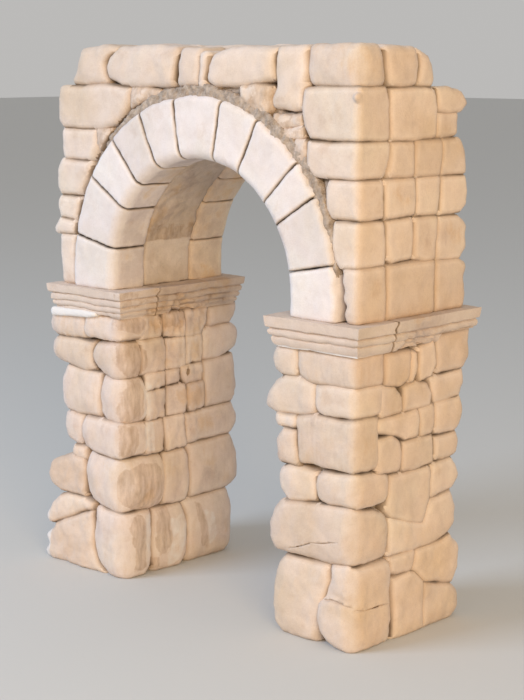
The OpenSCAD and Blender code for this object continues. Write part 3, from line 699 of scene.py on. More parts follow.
for i, rows in enumerate(RIGHT_PIER):
    node = f"right_pier_course_{i + 1}"
    grain = CRACKED_GRAIN if i == 0 else USUAL_GRAIN
    stones = drawn_course(node, rows, right_wall, RIGHT_FRONT_Y, RIGHT_SIDE_X, grain=grain)
    corner = stones[-len(rows)]
    front_start, side_start = RIGHT_FRONT_Y - CUT_START, RIGHT_SIDE_X + CUT_START
    if i == 0:
        ledge(corner, LEDGE_1, LEDGE_DEPTH)
        crack(corner, LEDGE_1[2:], "y", front_start, RIGHT_FRONT_Y + 0.08, width=0.014)
        crack(corner, CRACK_1, "x", side_start, RIGHT_SIDE_X - 0.05, width=0.012)
    if i == 1:
        crack(corner, CRACK_2, "y", front_start, RIGHT_FRONT_Y + 0.06, width=0.012)
    if i in DULL_COURSES:
        dull(corner)
    course = join_as(node + "_stones", stones)
    roughen(course, wander=0.02, lumps=0.05, pits=0.012)
    finish_piece(course, pier_stone, "limestone", node)

# Left pier: the same work, with its passage face turned to the camera. The corner stone of the
# lowest course is split by a deep groove into two lobes. Water has run down the passage face,
# stained it brown and cream, and eaten furrows into the small stones in its middle.
LEFT_FRONT_Y = -1.03
LEFT_PASSAGE_X = -1.165
LEFT_PIER = [
    # Course 1
    [("corner", 0.15, [(-1.8, 0.93), (-1.6, 0.88), (-0.95, 0.87), (-0.95, 0), (-1.4, 0), (-1.6, 0.03),
       (-1.78, 0.15), (-1.85, 0.35), (-1.83, 0.6)],
      [(-1.25, 0.88), (-0.52, 0.87), (-0.5, 0.75), (-0.49, 0.4), (-0.52, 0.1), (-0.6, 0), (-1.25, 0)]),
     ("lobe", 0.1, [(-0.47, 0.87), (0.02, 0.87), (0.12, 0.65), (0.15, 0.4), (0.1, 0.12), (0, 0),
       (-0.42, 0), (-0.48, 0.15), (-0.49, 0.45), (-0.48, 0.75)]),
     ("quoin", 0.12, [(0.05, 0.88), (0.92, 0.9), (1, 0.7), (1.02, 0.4), (0.99, 0.12), (0.87, 0),
       (0.2, 0), (0.15, 0.13), (0.17, 0.4), (0.15, 0.65)])],
    # Course 2
    [("corner", 0.15, [(-1.92, 1.66), (-1.6, 1.61), (-0.95, 1.63), (-0.95, 0.9), (-1.4, 0.88),
       (-1.6, 0.9), (-1.83, 0.97), (-1.95, 1.05), (-2, 1.2), (-1.98, 1.45)],
      [(-1.25, 1.62), (-0.3, 1.6), (-0.2, 1.5), (-0.17, 1.3), (-0.2, 1.05), (-0.25, 0.9), (-1.25, 0.9)]),
     ("side", 0.06, [(-0.3, 1.6), (0.08, 1.62), (0.17, 1.5), (0.19, 1.2), (0.18, 1), (0.12, 0.9),
       (-0.1, 0.88), (-0.3, 0.9), (-0.28, 1.2)]),
     ("quoin", 0.11, [(0.13, 1.63), (0.97, 1.65), (1.07, 1.5), (1.13, 1.2), (1.12, 1.02), (0.92, 0.92),
       (0.5, 0.9), (0.2, 0.9), (0.21, 1.2), (0.19, 1.5)])],
    # Course 3
    [("corner", 0.08, [(-1.95, 2.1), (-1.6, 2.1), (-0.95, 2.09), (-0.95, 1.63), (-1.5, 1.62),
       (-1.83, 1.66), (-1.95, 1.7), (-2.01, 1.85), (-2.02, 2)],
      [(-1.25, 2.1), (-0.55, 2.08), (-0.52, 1.9), (-0.52, 1.65), (-1.25, 1.63)]),
     ("front", 0.08, [(-2.25, 2.13), (-2, 2.1), (-2, 1.9), (-2.02, 1.72), (-2.15, 1.7), (-2.35, 1.78),
       (-2.4, 1.95), (-2.37, 2.08)]),
     ("side", 0.03, [(-0.62, 2.09), (-0.31, 2.09), (-0.29, 1.9), (-0.27, 1.64), (-0.62, 1.63)]),
     ("side", 0.03, [(-0.3, 2.09), (0.07, 2.09), (0.09, 1.9), (0.11, 1.64), (-0.26, 1.63)]),
     ("quoin", 0.07, [(0.08, 2.08), (1.02, 2.1), (1.07, 1.95), (1.07, 1.8), (0.97, 1.68), (0.5, 1.66),
       (0.12, 1.67)])],
    # Course 4
    [("corner", 0.11, [(-1.6, 2.7), (-1.4, 2.68), (-0.95, 2.68), (-0.95, 2.1), (-1.4, 2.08),
       (-1.55, 2.1), (-1.63, 2.2), (-1.66, 2.4), (-1.63, 2.6)],
      [(-1.25, 2.69), (-0.65, 2.67), (-0.55, 2.6), (-0.5, 2.45), (-0.5, 2.25), (-0.55, 2.1),
       (-1.25, 2.1)]),
     ("front", 0.09, [(-2.32, 2.75), (-2, 2.72), (-1.63, 2.72), (-1.62, 2.6), (-1.66, 2.4),
       (-1.65, 2.2), (-1.68, 2.15), (-2.1, 2.12), (-2.33, 2.15), (-2.41, 2.25), (-2.43, 2.5)]),
     ("side", 0.03, [(-0.62, 2.73), (-0.26, 2.71), (-0.25, 2.5), (-0.6, 2.48)]),
     ("side", 0.03, [(-0.25, 2.71), (0.01, 2.71), (0.01, 2.52), (-0.24, 2.5)]),
     ("side", 0.03, [(0.02, 2.73), (0.42, 2.74), (0.43, 2.6), (0.41, 2.49), (0.08, 2.49), (0.02, 2.58)]),
     ("side", 0.03, [(-0.62, 2.48), (-0.25, 2.49), (-0.24, 2.3), (-0.26, 2.09), (-0.6, 2.08)]),
     ("side", 0.03, [(-0.24, 2.5), (0.11, 2.5), (0.13, 2.3), (0.11, 2.1), (-0.24, 2.09)]),
     ("side", 0.03, [(0.14, 2.48), (0.45, 2.48), (0.47, 2.28), (0.45, 2.11), (0.18, 2.09), (0.14, 2.2)]),
     ("quoin", 0.08, [(0.45, 2.74), (1.02, 2.78), (1.07, 2.5), (1.1, 2.3), (1.02, 2.12), (0.5, 2.1),
       (0.47, 2.3)])],
    # Course 5
    [("corner", 0.11, [(-1.7, 3.1), (-1.4, 3.13), (-0.95, 3.16), (-0.95, 2.7), (-1.4, 2.67),
       (-1.6, 2.72), (-1.72, 2.82), (-1.81, 2.95)],
      [(-1.25, 3.18), (-0.65, 3.13), (-0.55, 3.05), (-0.52, 2.9), (-0.56, 2.75), (-0.7, 2.68),
       (-1.25, 2.7)]),
     ("front", 0.09, [(-2.45, 3.11), (-2.1, 3.12), (-1.75, 3.1), (-1.78, 3), (-1.77, 2.85),
       (-1.72, 2.75), (-1.9, 2.72), (-2.2, 2.74), (-2.5, 2.82), (-2.59, 2.9), (-2.55, 3.05)]),
     ("side", 0.03, [(-0.68, 3.17), (-0.27, 3.16), (-0.25, 3), (-0.26, 2.73), (-0.68, 2.7)]),
     ("side", 0.03, [(-0.25, 3.14), (0.11, 3.12), (0.13, 2.9), (0.11, 2.72), (-0.25, 2.72)]),
     ("side", 0.03, [(0.12, 3.12), (0.42, 3.12), (0.44, 2.9), (0.42, 2.75), (0.11, 2.74)]),
     ("quoin", 0.09, [(0.43, 3.18), (0.97, 3.2), (1.12, 3.12), (1.13, 3), (1.09, 2.88), (0.97, 2.8),
       (0.77, 2.75), (0.43, 2.76)])],
    # Course 6
    [("corner", 0.08, [(-1.9, 3.475), (-0.95, 3.48), (-0.95, 3.18), (-1.5, 3.14), (-1.78, 3.13),
       (-1.9, 3.18), (-1.93, 3.3)],
      [(-1.25, 3.475), (-0.6, 3.48), (-0.58, 3.3), (-0.62, 3.2), (-1.25, 3.19)]),
     ("front", 0.08, [(-2.58, 3.475), (-1.93, 3.48), (-1.9, 3.3), (-1.92, 3.15), (-2.2, 3.13),
       (-2.5, 3.13), (-2.61, 3.18), (-2.65, 3.3)]),
     ("side", 0.03, [(-0.66, 3.47), (-0.31, 3.47), (-0.29, 3.3), (-0.3, 3.17), (-0.66, 3.17)]),
     ("side", 0.03, [(-0.3, 3.47), (0.1, 3.47), (0.11, 3.12), (-0.27, 3.15), (-0.28, 3.25)]),
     ("side", 0.03, [(0.11, 3.47), (0.55, 3.47), (0.5, 3.25), (0.42, 3.12), (0.2, 3.1), (0.11, 3.11)]),
     ("quoin", 0.07, [(0.56, 3.475), (1.12, 3.48), (1.07, 3.3), (0.99, 3.21), (0.55, 3.21)])]]
STAINS = [
    [(-0.82, 0.84), (-0.68, 0.82), (-0.64, 0.7), (-0.63, 0.3), (-0.62, 0.12), (-0.74, 0.09),
     (-0.82, 0.12), (-0.82, 0.35), (-0.85, 0.5), (-0.88, 0.65)],
    [(-0.42, 0.85), (-0.2, 0.85), (-0.2, 0.7), (-0.22, 0.55), (-0.16, 0.5), (-0.17, 0.38), (-0.22, 0.3),
     (-0.28, 0.24), (-0.4, 0.26), (-0.46, 0.35), (-0.42, 0.5)],
    [(-0.52, 0.2), (-0.4, 0.22), (-0.38, 0.05), (-0.5, 0.02)],
    [(0.28, 0.82), (0.36, 0.8), (0.4, 0.65), (0.48, 0.5), (0.5, 0.3), (0.48, 0.18), (0.38, 0.17),
     (0.36, 0.5), (0.3, 0.65)],
    [(-0.9, 1.46), (-0.7, 1.52), (-0.45, 1.5), (-0.34, 1.42), (-0.3, 1.2), (-0.32, 1.05), (-0.38, 0.93),
     (-0.5, 0.9), (-0.8, 0.92), (-0.93, 1), (-1, 1.12), (-1, 1.28)],
    [(-1, 2.06), (-0.78, 2.06), (-0.76, 1.85), (-0.8, 1.66), (-1, 1.66)],
    [(-0.9, 2.64), (-0.68, 2.65), (-0.65, 2.45), (-0.66, 2.25), (-0.72, 2.14), (-0.95, 2.12),
     (-1.02, 2.25), (-0.97, 2.45)],
    [(-1.05, 3.47), (-0.66, 3.47), (-0.6, 3.36), (-0.7, 3.24), (-0.8, 3.3), (-1, 3.34)],
    [(-0.4, 3.47), (0.1, 3.47), (0.12, 3.34), (0, 3.24), (-0.14, 3.3), (-0.3, 3.26), (-0.38, 3.34)],
    [(-1, 3.12), (-0.72, 3.12), (-0.62, 3.02), (-0.58, 2.88), (-0.62, 2.76), (-0.75, 2.7),
     (-0.92, 2.73), (-1, 2.85)]]
CREAM_STAINS = [
    [(-0.17, 0.67), (0.05, 0.69), (0.1, 0.4), (-0.05, 0.1), (-0.2, 0.05), (-0.24, 0.2), (-0.12, 0.4)],
    [(0.45, 0.66), (0.6, 0.6), (0.66, 0.3), (0.55, 0.2), (0.52, 0.45)],
    [(-0.6, 0.8), (-0.52, 0.8), (-0.52, 0.3), (-0.58, 0.2)],
    [(-0.6, 2.05), (-0.5, 2.05), (-0.48, 1.7), (-0.6, 1.7)],
    [(-0.62, 2.6), (-0.54, 2.55), (-0.54, 2.2), (-0.62, 2.15)]]
FAINT_STAINS = [
    [(0.66, 0.52), (0.9, 0.52), (0.93, 0.3), (0.88, 0.15), (0.7, 0.17)],
    [(0.36, 1.35), (0.65, 1.4), (0.75, 1.2), (0.9, 1.05), (0.55, 1), (0.4, 1.05)],
    [(-0.7, 1.3), (-0.45, 1.3), (-0.42, 0.95), (-0.75, 0.95)],
    [(-0.15, 1.4), (-0.05, 1.4), (0.1, 0.95), (-0.18, 0.95)],
    [(0.05, 2.05), (0.9, 2), (0.9, 1.85), (0.75, 1.76), (0.15, 1.72), (0.05, 1.8)],
    [(-0.5, 2.7), (0.4, 2.73), (0.55, 2.3), (0.44, 2.1), (-0.5, 2.1)],
    [(-0.5, 3.1), (0.42, 3.1), (0.4, 2.76), (-0.5, 2.75)],
    [(-1, 3.45), (0.5, 3.45), (0.4, 3.13), (-0.3, 3.15), (-0.6, 3.22), (-1, 3.22)]]
# The bonding stones butt against this pier, so their outlines are needed here
BONDING = [
    [(-1.85, 0.83), (-2.1, 0.74), (-2.4, 0.61), (-2.64, 0.51), (-2.68, 0.42), (-2.84, 0.3),
     (-2.76, 0.2), (-2.87, 0.08), (-2.79, 0), (-1.65, 0), (-1.75, 0.12), (-1.83, 0.3), (-1.83, 0.6)],
    [(-2.35, 0.97), (-2, 0.98), (-1.82, 0.93), (-1.85, 0.85), (-2.1, 0.77), (-2.4, 0.64), (-2.64, 0.53),
     (-2.78, 0.52), (-2.8, 0.6), (-2.69, 0.75), (-2.52, 0.9)],
    [(-2, 1.53), (-2.2, 1.53), (-2.5, 1.44), (-2.71, 1.36), (-2.73, 1.27), (-2.79, 1.18), (-2.71, 1.08),
     (-2.53, 1), (-2.3, 0.99), (-2, 1), (-1.98, 1.2), (-1.97, 1.4)],
    [(-2.2, 1.66), (-1.95, 1.69), (-1.95, 1.52), (-2.1, 1.5), (-2.23, 1.54)]]
HOLE = [(0.11, 2.68), (0.14, 2.69), (0.165, 2.66), (0.16, 2.61), (0.13, 2.59), (0.105, 2.62)]
HOLE_COURSE = 3
HOLE_STONE = 4
HOLE_DEPTH = 0.06
# How dark the painted shade on the walls of the hole is
HOLE_WALL_SHADE = 0.85
STAIN_SKIN = 0.2
FURROWED_Y = (-0.62, 0.55)
FURROW_FADE = 0.12
FURROW_DEPTHS = [0, 0, 0.025, 0.025, 0.03, 0.05]
LEFT_PITS = [0.014, 0.014, 0.014, 0.014, 0.014, 0.03]
passage_stone = limestone("passage_limestone", (0.79, 0.68, 0.60), (0.73, 0.60, 0.49), PIER_GRIME)


def mark_stains(piece, name, outlines, face_x, soft, floor, full=1):
    """Marks how far each point of a side face lies inside the nearest stain."""
    points = points_of(piece)
    depth = np.max([edge_depth(points[:, [1, 2]], outline) for outline in outlines], axis=0)
    depth[points[:, 0] < face_x - STAIN_SKIN] = -1
    mark(piece, name, np.clip(0.5 + depth / soft, floor, full))


def bumps_at(points, scale):
    """Even noise, between about minus one and one, at each row of an array."""
    return np.array([noise.noise(Vector(p) * scale) for p in points])


def push_out(piece, amounts):
    """Moves each point of a piece along its normal."""
    set_points(piece, points_of(piece) + normals_of(piece) * amounts[:, None])


def furrow(piece, face_x, depth):
    """Eats fine upright furrows into the middle of a passage face, where water runs down it."""
    points = points_of(piece)
    upright = points * [0, 13, 4] + [0.2, 0, 0]
    fall = bumps_at(upright[:, [1, 2, 0]], 1) + 0.7 * bumps_at(points, 15)
    from_end = np.minimum(points[:, 1] - FURROWED_Y[0], FURROWED_Y[1] - points[:, 1])
    reach = np.clip(from_end / FURROW_FADE, 0, 1) * (points[:, 0] > face_x - FURROW_FADE)
    push_out(piece, -depth * np.clip(fall + 0.1, 0, 1) * reach)


left_wall = wall_of(sum(LEFT_PIER, []), [IMPOST_BAND], [IMPOST_BAND] + BONDING)
for i, rows in enumerate(LEFT_PIER):
    node = f"left_pier_course_{i + 1}"
    stones = drawn_course(node, rows, left_wall, LEFT_FRONT_Y, LEFT_PASSAGE_X)
    if i == HOLE_COURSE:
        hole_end = LEFT_PASSAGE_X - HOLE_DEPTH
        cut(stones[HOLE_STONE - len(rows)], HOLE, "x", LEFT_PASSAGE_X + CUT_START, hole_end, HOLE_WALL_SHADE)
    course = join_as(node + "_stones", stones)
    furrow(course, LEFT_PASSAGE_X, FURROW_DEPTHS[i])
    roughen(course, wander=0.02, lumps=0.05, pits=LEFT_PITS[i])
    mark_stains(course, "stain", STAINS, LEFT_PASSAGE_X, soft=0.2, floor=0)
    mark_stains(course, "cloud_stain_and_shade", FAINT_STAINS, LEFT_PASSAGE_X, soft=0.3, floor=0.4)
    mark_stains(course, "lime", CREAM_STAINS, LEFT_PASSAGE_X, soft=0.2, floor=0, full=0.44)
    finish_piece(course, passage_stone, "limestone", node)

# Bonding stones: broken ends of the limestone blocks that tied the left pier into a wall beside
# it, warmer in colour where they broke, with a pale fresh break at the longest tips.
BONDING_FRONT_Y = LEFT_FRONT_Y + 0.02
BONDING_BACK_Y = LEFT_FRONT_Y + 0.75
BREAK_X = -2.68
BREAK_FADE = 0.1
BREAK_LIME = 0.5
bonding_stone = limestone("bonding_limestone", (0.81, 0.67, 0.55), (0.75, 0.57, 0.43), PIER_GRIME)


def front_stone(name, outline, wall, rounding, front_y, back_y, grain):
    """One stone that shows on the front alone."""
    return drawn_stone(name, "front", rounding, [outline], wall, front_y, 0, back_y, 0, grain)


stones = []
for outline in BONDING:
    stones.append(front_stone("bonding", outline, left_wall, rounding=0.06, front_y=BONDING_FRONT_Y,
                              back_y=BONDING_BACK_Y, grain=0.024))
bonding = join_as("left_bonding_stubs", stones)
roughen(bonding, wander=0.02, lumps=0.06, pits=0.02)
mark(bonding, "lime", np.clip((BREAK_X - points_of(bonding)[:, 0]) / BREAK_FADE, 0, BREAK_LIME))
finish_piece(bonding, bonding_stone, "warm_limestone", "left_bonding_stones")

# Pier cores: lime mortar and rubble poured behind the facing stones, which shows as the
# grey-brown bedding at the bottom of the joints.
MORTAR_DEPTH = 0.15
CORE_GAP = 0.01
CORE_GRAIN = 0.07


def mortar(name, dark, light, lumps):
    """Crumbling lime mortar with grit of several sizes."""
    material, tree = new_material(name, 0.15)
    tree.nodes["Principled BSDF"].inputs["Roughness"].default_value = 0.95
    patches = noise_node(tree, lumps, 8, 0.7)
    paint(tree, "Base Color", ramp_node(tree, patches, [(0.32, dark), (0.68, light)]))
    relief(tree, noise_node(tree, 45, 6, 0.5), 0.6, 0.03)
    return material


def squared_block(low, high):
    """Adds a squared block between two corners."""
    bpy.ops.object.select_all(action="DESELECT")
    bpy.ops.mesh.primitive_cube_add(size=1, location=(low + high) / 2, scale=high - low)
    bpy.ops.object.transform_apply(location=True, rotation=True, scale=True)
    return bpy.context.active_object


core_mortar = mortar("core_mortar", (0.20, 0.155, 0.11), (0.42, 0.34, 0.26), lumps=6)
for side in ("right", "left"):
    low = np.array(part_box(f"{side}_pier_course_3")[0]) + MORTAR_DEPTH
    high = np.array(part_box(f"{side}_pier_course_3")[1]) - MORTAR_DEPTH
    low[2] = CORE_GAP
    high[2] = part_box(f"{side}_impost")[0][2] - CORE_GAP
    core = squared_block(low, high)
    core.name = f"{side}_pier_mortar"
    even_faces(core, CORE_GRAIN)
    finish_piece(core, core_mortar, "mortar", f"{side}_pier_core")

# Imposts: two limestone blocks on each pier, squared and then moulded all round: a broad fascia
# over two or three worn bands. The lines between the bands wander and the lower edge is chipped;
# a strip of plaster is left under the front of the left one.
IMPOST_STEP = 0.035
IMPOST_RISE = 0.01
IMPOST_OUT = 0.15
RIGHT_PROFILE = [(0, 0.045), (0.06, 0.065), (0.16, 0.082), (0.27, 0.088), (0.31, 0.07), (0.35, 0.106),
                 (0.44, 0.12), (0.54, 0.115), (0.59, 0.09), (0.63, 0.135), (0.75, 0.142), (1, 0.15)]
LEFT_PROFILE = [(0, 0.04), (0.08, 0.07), (0.17, 0.075), (0.2, 0.06), (0.24, 0.09), (0.32, 0.1),
                (0.39, 0.095), (0.42, 0.08), (0.46, 0.112), (0.55, 0.12), (0.64, 0.117), (0.68, 0.095),
                (0.72, 0.138), (0.82, 0.145), (1, 0.15)]
# Heights, as shares of the impost's height, of the grooves darkened with painted shade, and how far that
# shade spreads
RIGHT_GROOVE_SHADES = [0.31, 0.59]
LEFT_GROOVE_SHADES = [0.2, 0.42, 0.68]
GROOVE_SHADE_WIDTH = 0.045
JOINT_REACH = 0.2
JOINT_ZIGZAG = 0.06
JOINT_GAP = 0.008
BITE_DEPTH = 0.085
CHIP_DEPTH = 0.045
EDGE_WAVE = 0.04
BROKEN_RISE = 0.11
LIME_RISE = 0.07
IMPOST_STAINS = [
    [(-1.2, 3.8), (-0.93, 3.82), (-0.7, 3.76), (-0.6, 3.68), (-0.65, 3.6), (-1.02, 3.62), (-1.2, 3.66)],
    [(-0.6, 3.66), (-0.3, 3.7), (-0.1, 3.74), (0, 3.7), (-0.1, 3.6), (-0.4, 3.5), (-0.6, 3.52)],
    [(0.1, 3.64), (0.4, 3.66), (0.6, 3.62), (0.5, 3.5), (0.2, 3.5)]]
PLASTER = [(-2.5, 3.49), (-2.2, 3.5), (-1.85, 3.51), (-1.65, 3.5), (-1.62, 3.49), (-1.75, 3.46),
           (-2.1, 3.44), (-2.4, 3.42), (-2.5, 3.41), (-2.52, 3.45)]
PLASTER_FRONT_Y = LEFT_FRONT_Y - 0.035
PLASTER_BACK_Y = LEFT_FRONT_Y + 0.1
impost_stone = limestone("impost_limestone", (0.73, 0.63, 0.545), (0.65, 0.54, 0.45), (0.22, 0.16, 0.115))


def slice_up(piece, axis, step):
    """Cuts a squared piece into even strips across an axis so that its faces can be worn."""
    low, high = points_of(piece)[:, axis].min(), points_of(piece)[:, axis].max()
    count = int((high - low) / step)
    across = [float(axis == 0), float(axis == 1), float(axis == 2)]
    only(piece)
    bpy.ops.object.mode_set(mode="EDIT")
    for i in range(1, count):
        at = [c * (low + (high - low) * i / count) for c in across]
        bpy.ops.mesh.select_all(action="SELECT")
        bpy.ops.mesh.bisect(plane_co=at, plane_no=across)
    bpy.ops.object.mode_set(mode="OBJECT")


def mould(block, low, high, profile, lines, eroded):
    """Pulls the walls of a squared block back to the worn profile of the moulding."""
    points = points_of(block)
    share = (points[:, 2] - low[2]) / (high[2] - low[2])
    # The joint between the two blocks zigzags and stands a little open
    ends = (points[:, 1].min(), points[:, 1].max())
    joint_y = [y for y in ends if low[1] + 0.1 < y < high[1] - 0.1][0]
    at_joint = np.clip(1 - np.abs(points[:, 1] - joint_y) / JOINT_REACH, 0, 1)
    zigzag = bumps_at(points * [0, 0, 14] + [0.4, 0.7, 0], 1)
    gap = JOINT_GAP if joint_y == ends[0] else -JOINT_GAP
    points[:, 1] += JOINT_ZIGZAG * zigzag * at_joint + gap * (at_joint > 0.99)
    # Wear shifts the profile up and down, most of all near the foot
    coarse = bumps_at(points * [1, 1, 0] + [0, 0, 0.3], 1.9)
    fine, crumbs = bumps_at(points, 9), bumps_at(points, 21)
    worn = share + (0.015 + 0.1 * (1 - share)) * coarse
    worn += (0.008 + 0.03 * (1 - share)) * fine * (share < 0.98)
    # Grime along the joint between the blocks, then painted shade darkening the grooves between the bands,
    # as the shade under each band
    line = np.clip((at_joint - 0.7) / 0.25, 0, 1)
    for at in lines:
        groove_shade = np.clip(1 - np.abs(worn - at) / GROOVE_SHADE_WIDTH, 0, 1)
        line = np.maximum(line, groove_shade * (1 - 0.8 * eroded(points)))
    bite = np.clip(0.45 + 1.2 * coarse + 0.9 * fine + 0.5 * crumbs, 0, 1)
    bite *= np.clip(1.2 - 1.4 * share, 0, 1) * eroded(points)
    chip = np.clip(coarse + 0.7 * fine - 0.2, 0, 1) * np.clip(0.95 - share, 0, 1)
    height, out = np.array(profile).T
    kept = (np.interp(worn, height, out) - BITE_DEPTH * bite - CHIP_DEPTH * chip) / IMPOST_OUT
    for axis in (0, 1):
        for wall, outward in ((low[axis] + IMPOST_OUT, -1), (high[axis] - IMPOST_OUT, 1)):
            beyond = np.clip(outward * (points[:, axis] - wall), 0, None)
            points[:, axis] += outward * beyond * (kept - 1)
    points[:, 2] += EDGE_WAVE * np.clip(coarse + 0.5 * fine, -0.2, 1) * np.clip(1 - share / 0.3, 0, 1)
    set_points(block, points)
    # Joint grime, the painted shade of the grooves, and darkening in the bitten hollows, all marked as
    # joint
    grime = line * np.clip(0.95 + 0.6 * coarse + 0.3 * fine, 0, 1) + 0.5 * bite * (crumbs > 0.1)
    mark(block, "joint", np.clip(grime, 0, 1))
    mark(block, "cloud_stain_and_shade", np.clip(0.75 * eroded(points) + 0.2, 0, 1))
    mark_all(block, "tint", random.random())


def right_erosion(points):
    """A broken stretch under the outer side of the right impost."""
    return (points[:, 0] > 2.7) * np.clip(1 - np.abs(points[:, 1] - 0.05) / 0.6, 0, 1)


def left_erosion(points):
    """Most of the left impost's passage side is eaten by weather."""
    past_front = np.clip((points[:, 1] + 0.75) / 0.3, 0, 1)
    before_back = np.clip((1.0 - points[:, 1]) / 0.2, 0, 1)
    return (points[:, 0] > -1.25) * past_front * before_back


def break_foot(block, foot):
    """Breaks away the foot of the right impost at the back of its outer side, and whitens its front."""
    points = points_of(block)
    broken = np.clip((points[:, 1] - 0.42) / 0.05, 0, 1) * (points[:, 0] > 2.3)
    points[:, 2] = np.maximum(points[:, 2], foot + BROKEN_RISE * broken)
    set_points(block, points)
    mark(block, "lime", (points[:, 1] < -1) * np.clip(0.7 - (points[:, 2] - foot) / LIME_RISE, 0, 1))


for side, profile, lines, eroded in (("right", RIGHT_PROFILE, RIGHT_GROOVE_SHADES, right_erosion),
                                     ("left", LEFT_PROFILE, LEFT_GROOVE_SHADES, left_erosion)):
    low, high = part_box(f"{side}_impost")
    blocks = []
    for cad_block in stones_of(f"{side}_impost"):
        block_low, block_high = points_of(cad_block).min(0), points_of(cad_block).max(0)
        bpy.data.objects.remove(cad_block)
        block = squared_block(block_low, block_high)
        slice_up(block, 0, IMPOST_STEP)
        slice_up(block, 1, IMPOST_STEP)
        slice_up(block, 2, IMPOST_RISE)
        mould(block, low, high, profile, lines, eroded)
        if side == "left":
            mark_stains(block, "stain", IMPOST_STAINS, LEFT_PASSAGE_X + 0.16, soft=0.12, floor=0, full=0.46)
        else:
            break_foot(block, low[2])
        blocks.append(block)
    if side == "left":
        strip = front_stone("plaster", PLASTER, left_wall, rounding=0.008, front_y=PLASTER_FRONT_Y,
                            back_y=PLASTER_BACK_Y, grain=0.014)
        mark_all(strip, "lime", 1)
        mark_all(strip, "joint", 0)
        blocks.append(strip)
    impost = join_as(f"{side}_impost_blocks", blocks)
    roughen(impost, wander=0.012, lumps=0.012, pits=0.006)
    finish_piece(impost, impost_stone, "warm_limestone", f"{side}_impost")
    only(impost)
    bpy.ops.object.shade_smooth_by_angle(angle=math.radians(50))

# Arch rings: eleven dressed limestone voussoirs to each face with radial joints, the front ones
# of whiter stone, springing from the imposts and closed by the keystone.
RING = (["right_springer"] + [f"right_voussoir_{i}" for i in range(1, 5)] + ["keystone"]
        + [f"left_voussoir_{i}" for i in range(4, 0, -1)] + ["left_springer"])
RING_X = 0.175
RING_Z = 4.045
RING_IN = 1.515
RING_OUT = 2.265
RING_FACE = 1.025
RING_FOOT = 3.835
WEDGE_GRAIN = 0.027
EDGE_ZONE = 0.16
SOFFIT_FALL = 0.05
SOFFIT_REACH = 0.13
BACK_FALL = 0.03
BACK_REACH = 0.07
FRONT_TIGHT = 0.014
BACK_TIGHT = 0.002
RIGHT_CHIPS = 0.05
OTHER_CHIPS = 0.02
ring_stone = limestone("ring_limestone", (0.83, 0.785, 0.765), (0.78, 0.72, 0.685), (0.13, 0.095, 0.07),
                       bump=0.22, open_from=0.9)
back_ring_stone = limestone("back_ring_limestone", (0.89, 0.77, 0.62), (0.77, 0.62, 0.475),
                            (0.15, 0.11, 0.08), bump=0.5)


def around(points):
    """Radius and angle of each point about the ring's axis; the stilts hang straight down."""
    x, z = points[:, 0] - RING_X, points[:, 2] - RING_Z
    radius = np.where(z > 0, np.hypot(x, z), np.abs(x))
    angle = np.where(z > 0, np.arctan2(z, x), np.where(x > 0, 0, math.pi))
    return radius, angle


def wear_wedge(block, face, chips):
    """Rounds a wedge over the edge of its soffit, keeps its joints tight, chips its back and paints shade
    on its soffit.
    """
    start, end = around(points_of(block))[1].min(), around(points_of(block))[1].max()
    even_faces(block, WEDGE_GRAIN)
    points = points_of(block)
    radius, angle = around(points)
    inward = -math.copysign(1, face)
    from_face = np.abs(points[:, 1] - face)
    out = np.stack([np.cos(angle), np.zeros(len(points)), np.sin(angle)], 1)
    near_face = np.clip(1 - from_face / EDGE_ZONE, 0, 1)
    near_soffit = np.clip(1 - (radius - RING_IN) / EDGE_ZONE, 0, 1)
    fall = SOFFIT_FALL * rounded(radius - RING_IN, SOFFIT_REACH)
    fall += BACK_FALL * rounded(RING_OUT - radius, BACK_REACH)
    points[:, 1] += inward * near_face * fall
    points += out * (SOFFIT_FALL * rounded(from_face, SOFFIT_REACH) * near_soffit)[:, None]
    ragged = bumps_at(points, 6) + 0.6 * bumps_at(points, 15)
    near_back = np.clip(1 - (RING_OUT - radius) / 0.1, 0, 1)
    points -= out * (chips * np.clip(ragged + 0.15, 0, 1) * near_back * near_face)[:, None]
    set_points(block, points)
    soften(block, WEDGE_GRAIN, 0.016, 0.003)
    points = points_of(block)
    radius, angle = around(points)
    past_start = np.where(start > 0.01, radius * (angle - start), 1)
    before_end = np.where(end < math.pi - 0.01, radius * (end - angle), 1)
    tight = FRONT_TIGHT if face < 0 else BACK_TIGHT
    mark_joints(block, 1.5 * np.minimum(past_start, before_end) - tight)
    mark_all(block, "tint", random.random())
    # Painted shade: the soffit behind the face is clouded darker and warmer, as the shade under the ring
    behind = np.clip((np.abs(points[:, 1] - face) - 0.05) / 0.15, 0, 1)
    mark(block, "cloud_stain_and_shade", np.clip((RING_IN + 0.12 - radius) / 0.1, 0, 1) * behind)


for node in RING:
    blocks = stones_of(node)
    for block in blocks:
        front = points_of(block)[:, 1].mean() < 0
        chips = RIGHT_CHIPS if node.startswith("right") else OTHER_CHIPS
        wear_wedge(block, -RING_FACE if front else RING_FACE, chips)
        block.data.materials.append(ring_stone if front else back_ring_stone)
    wedge = join_as(node + "_blocks", blocks)
    roughen(wedge, wander=0.012, lumps=0.022, pits=0.008)
    finish_piece(wedge, None, "pale_limestone", node)

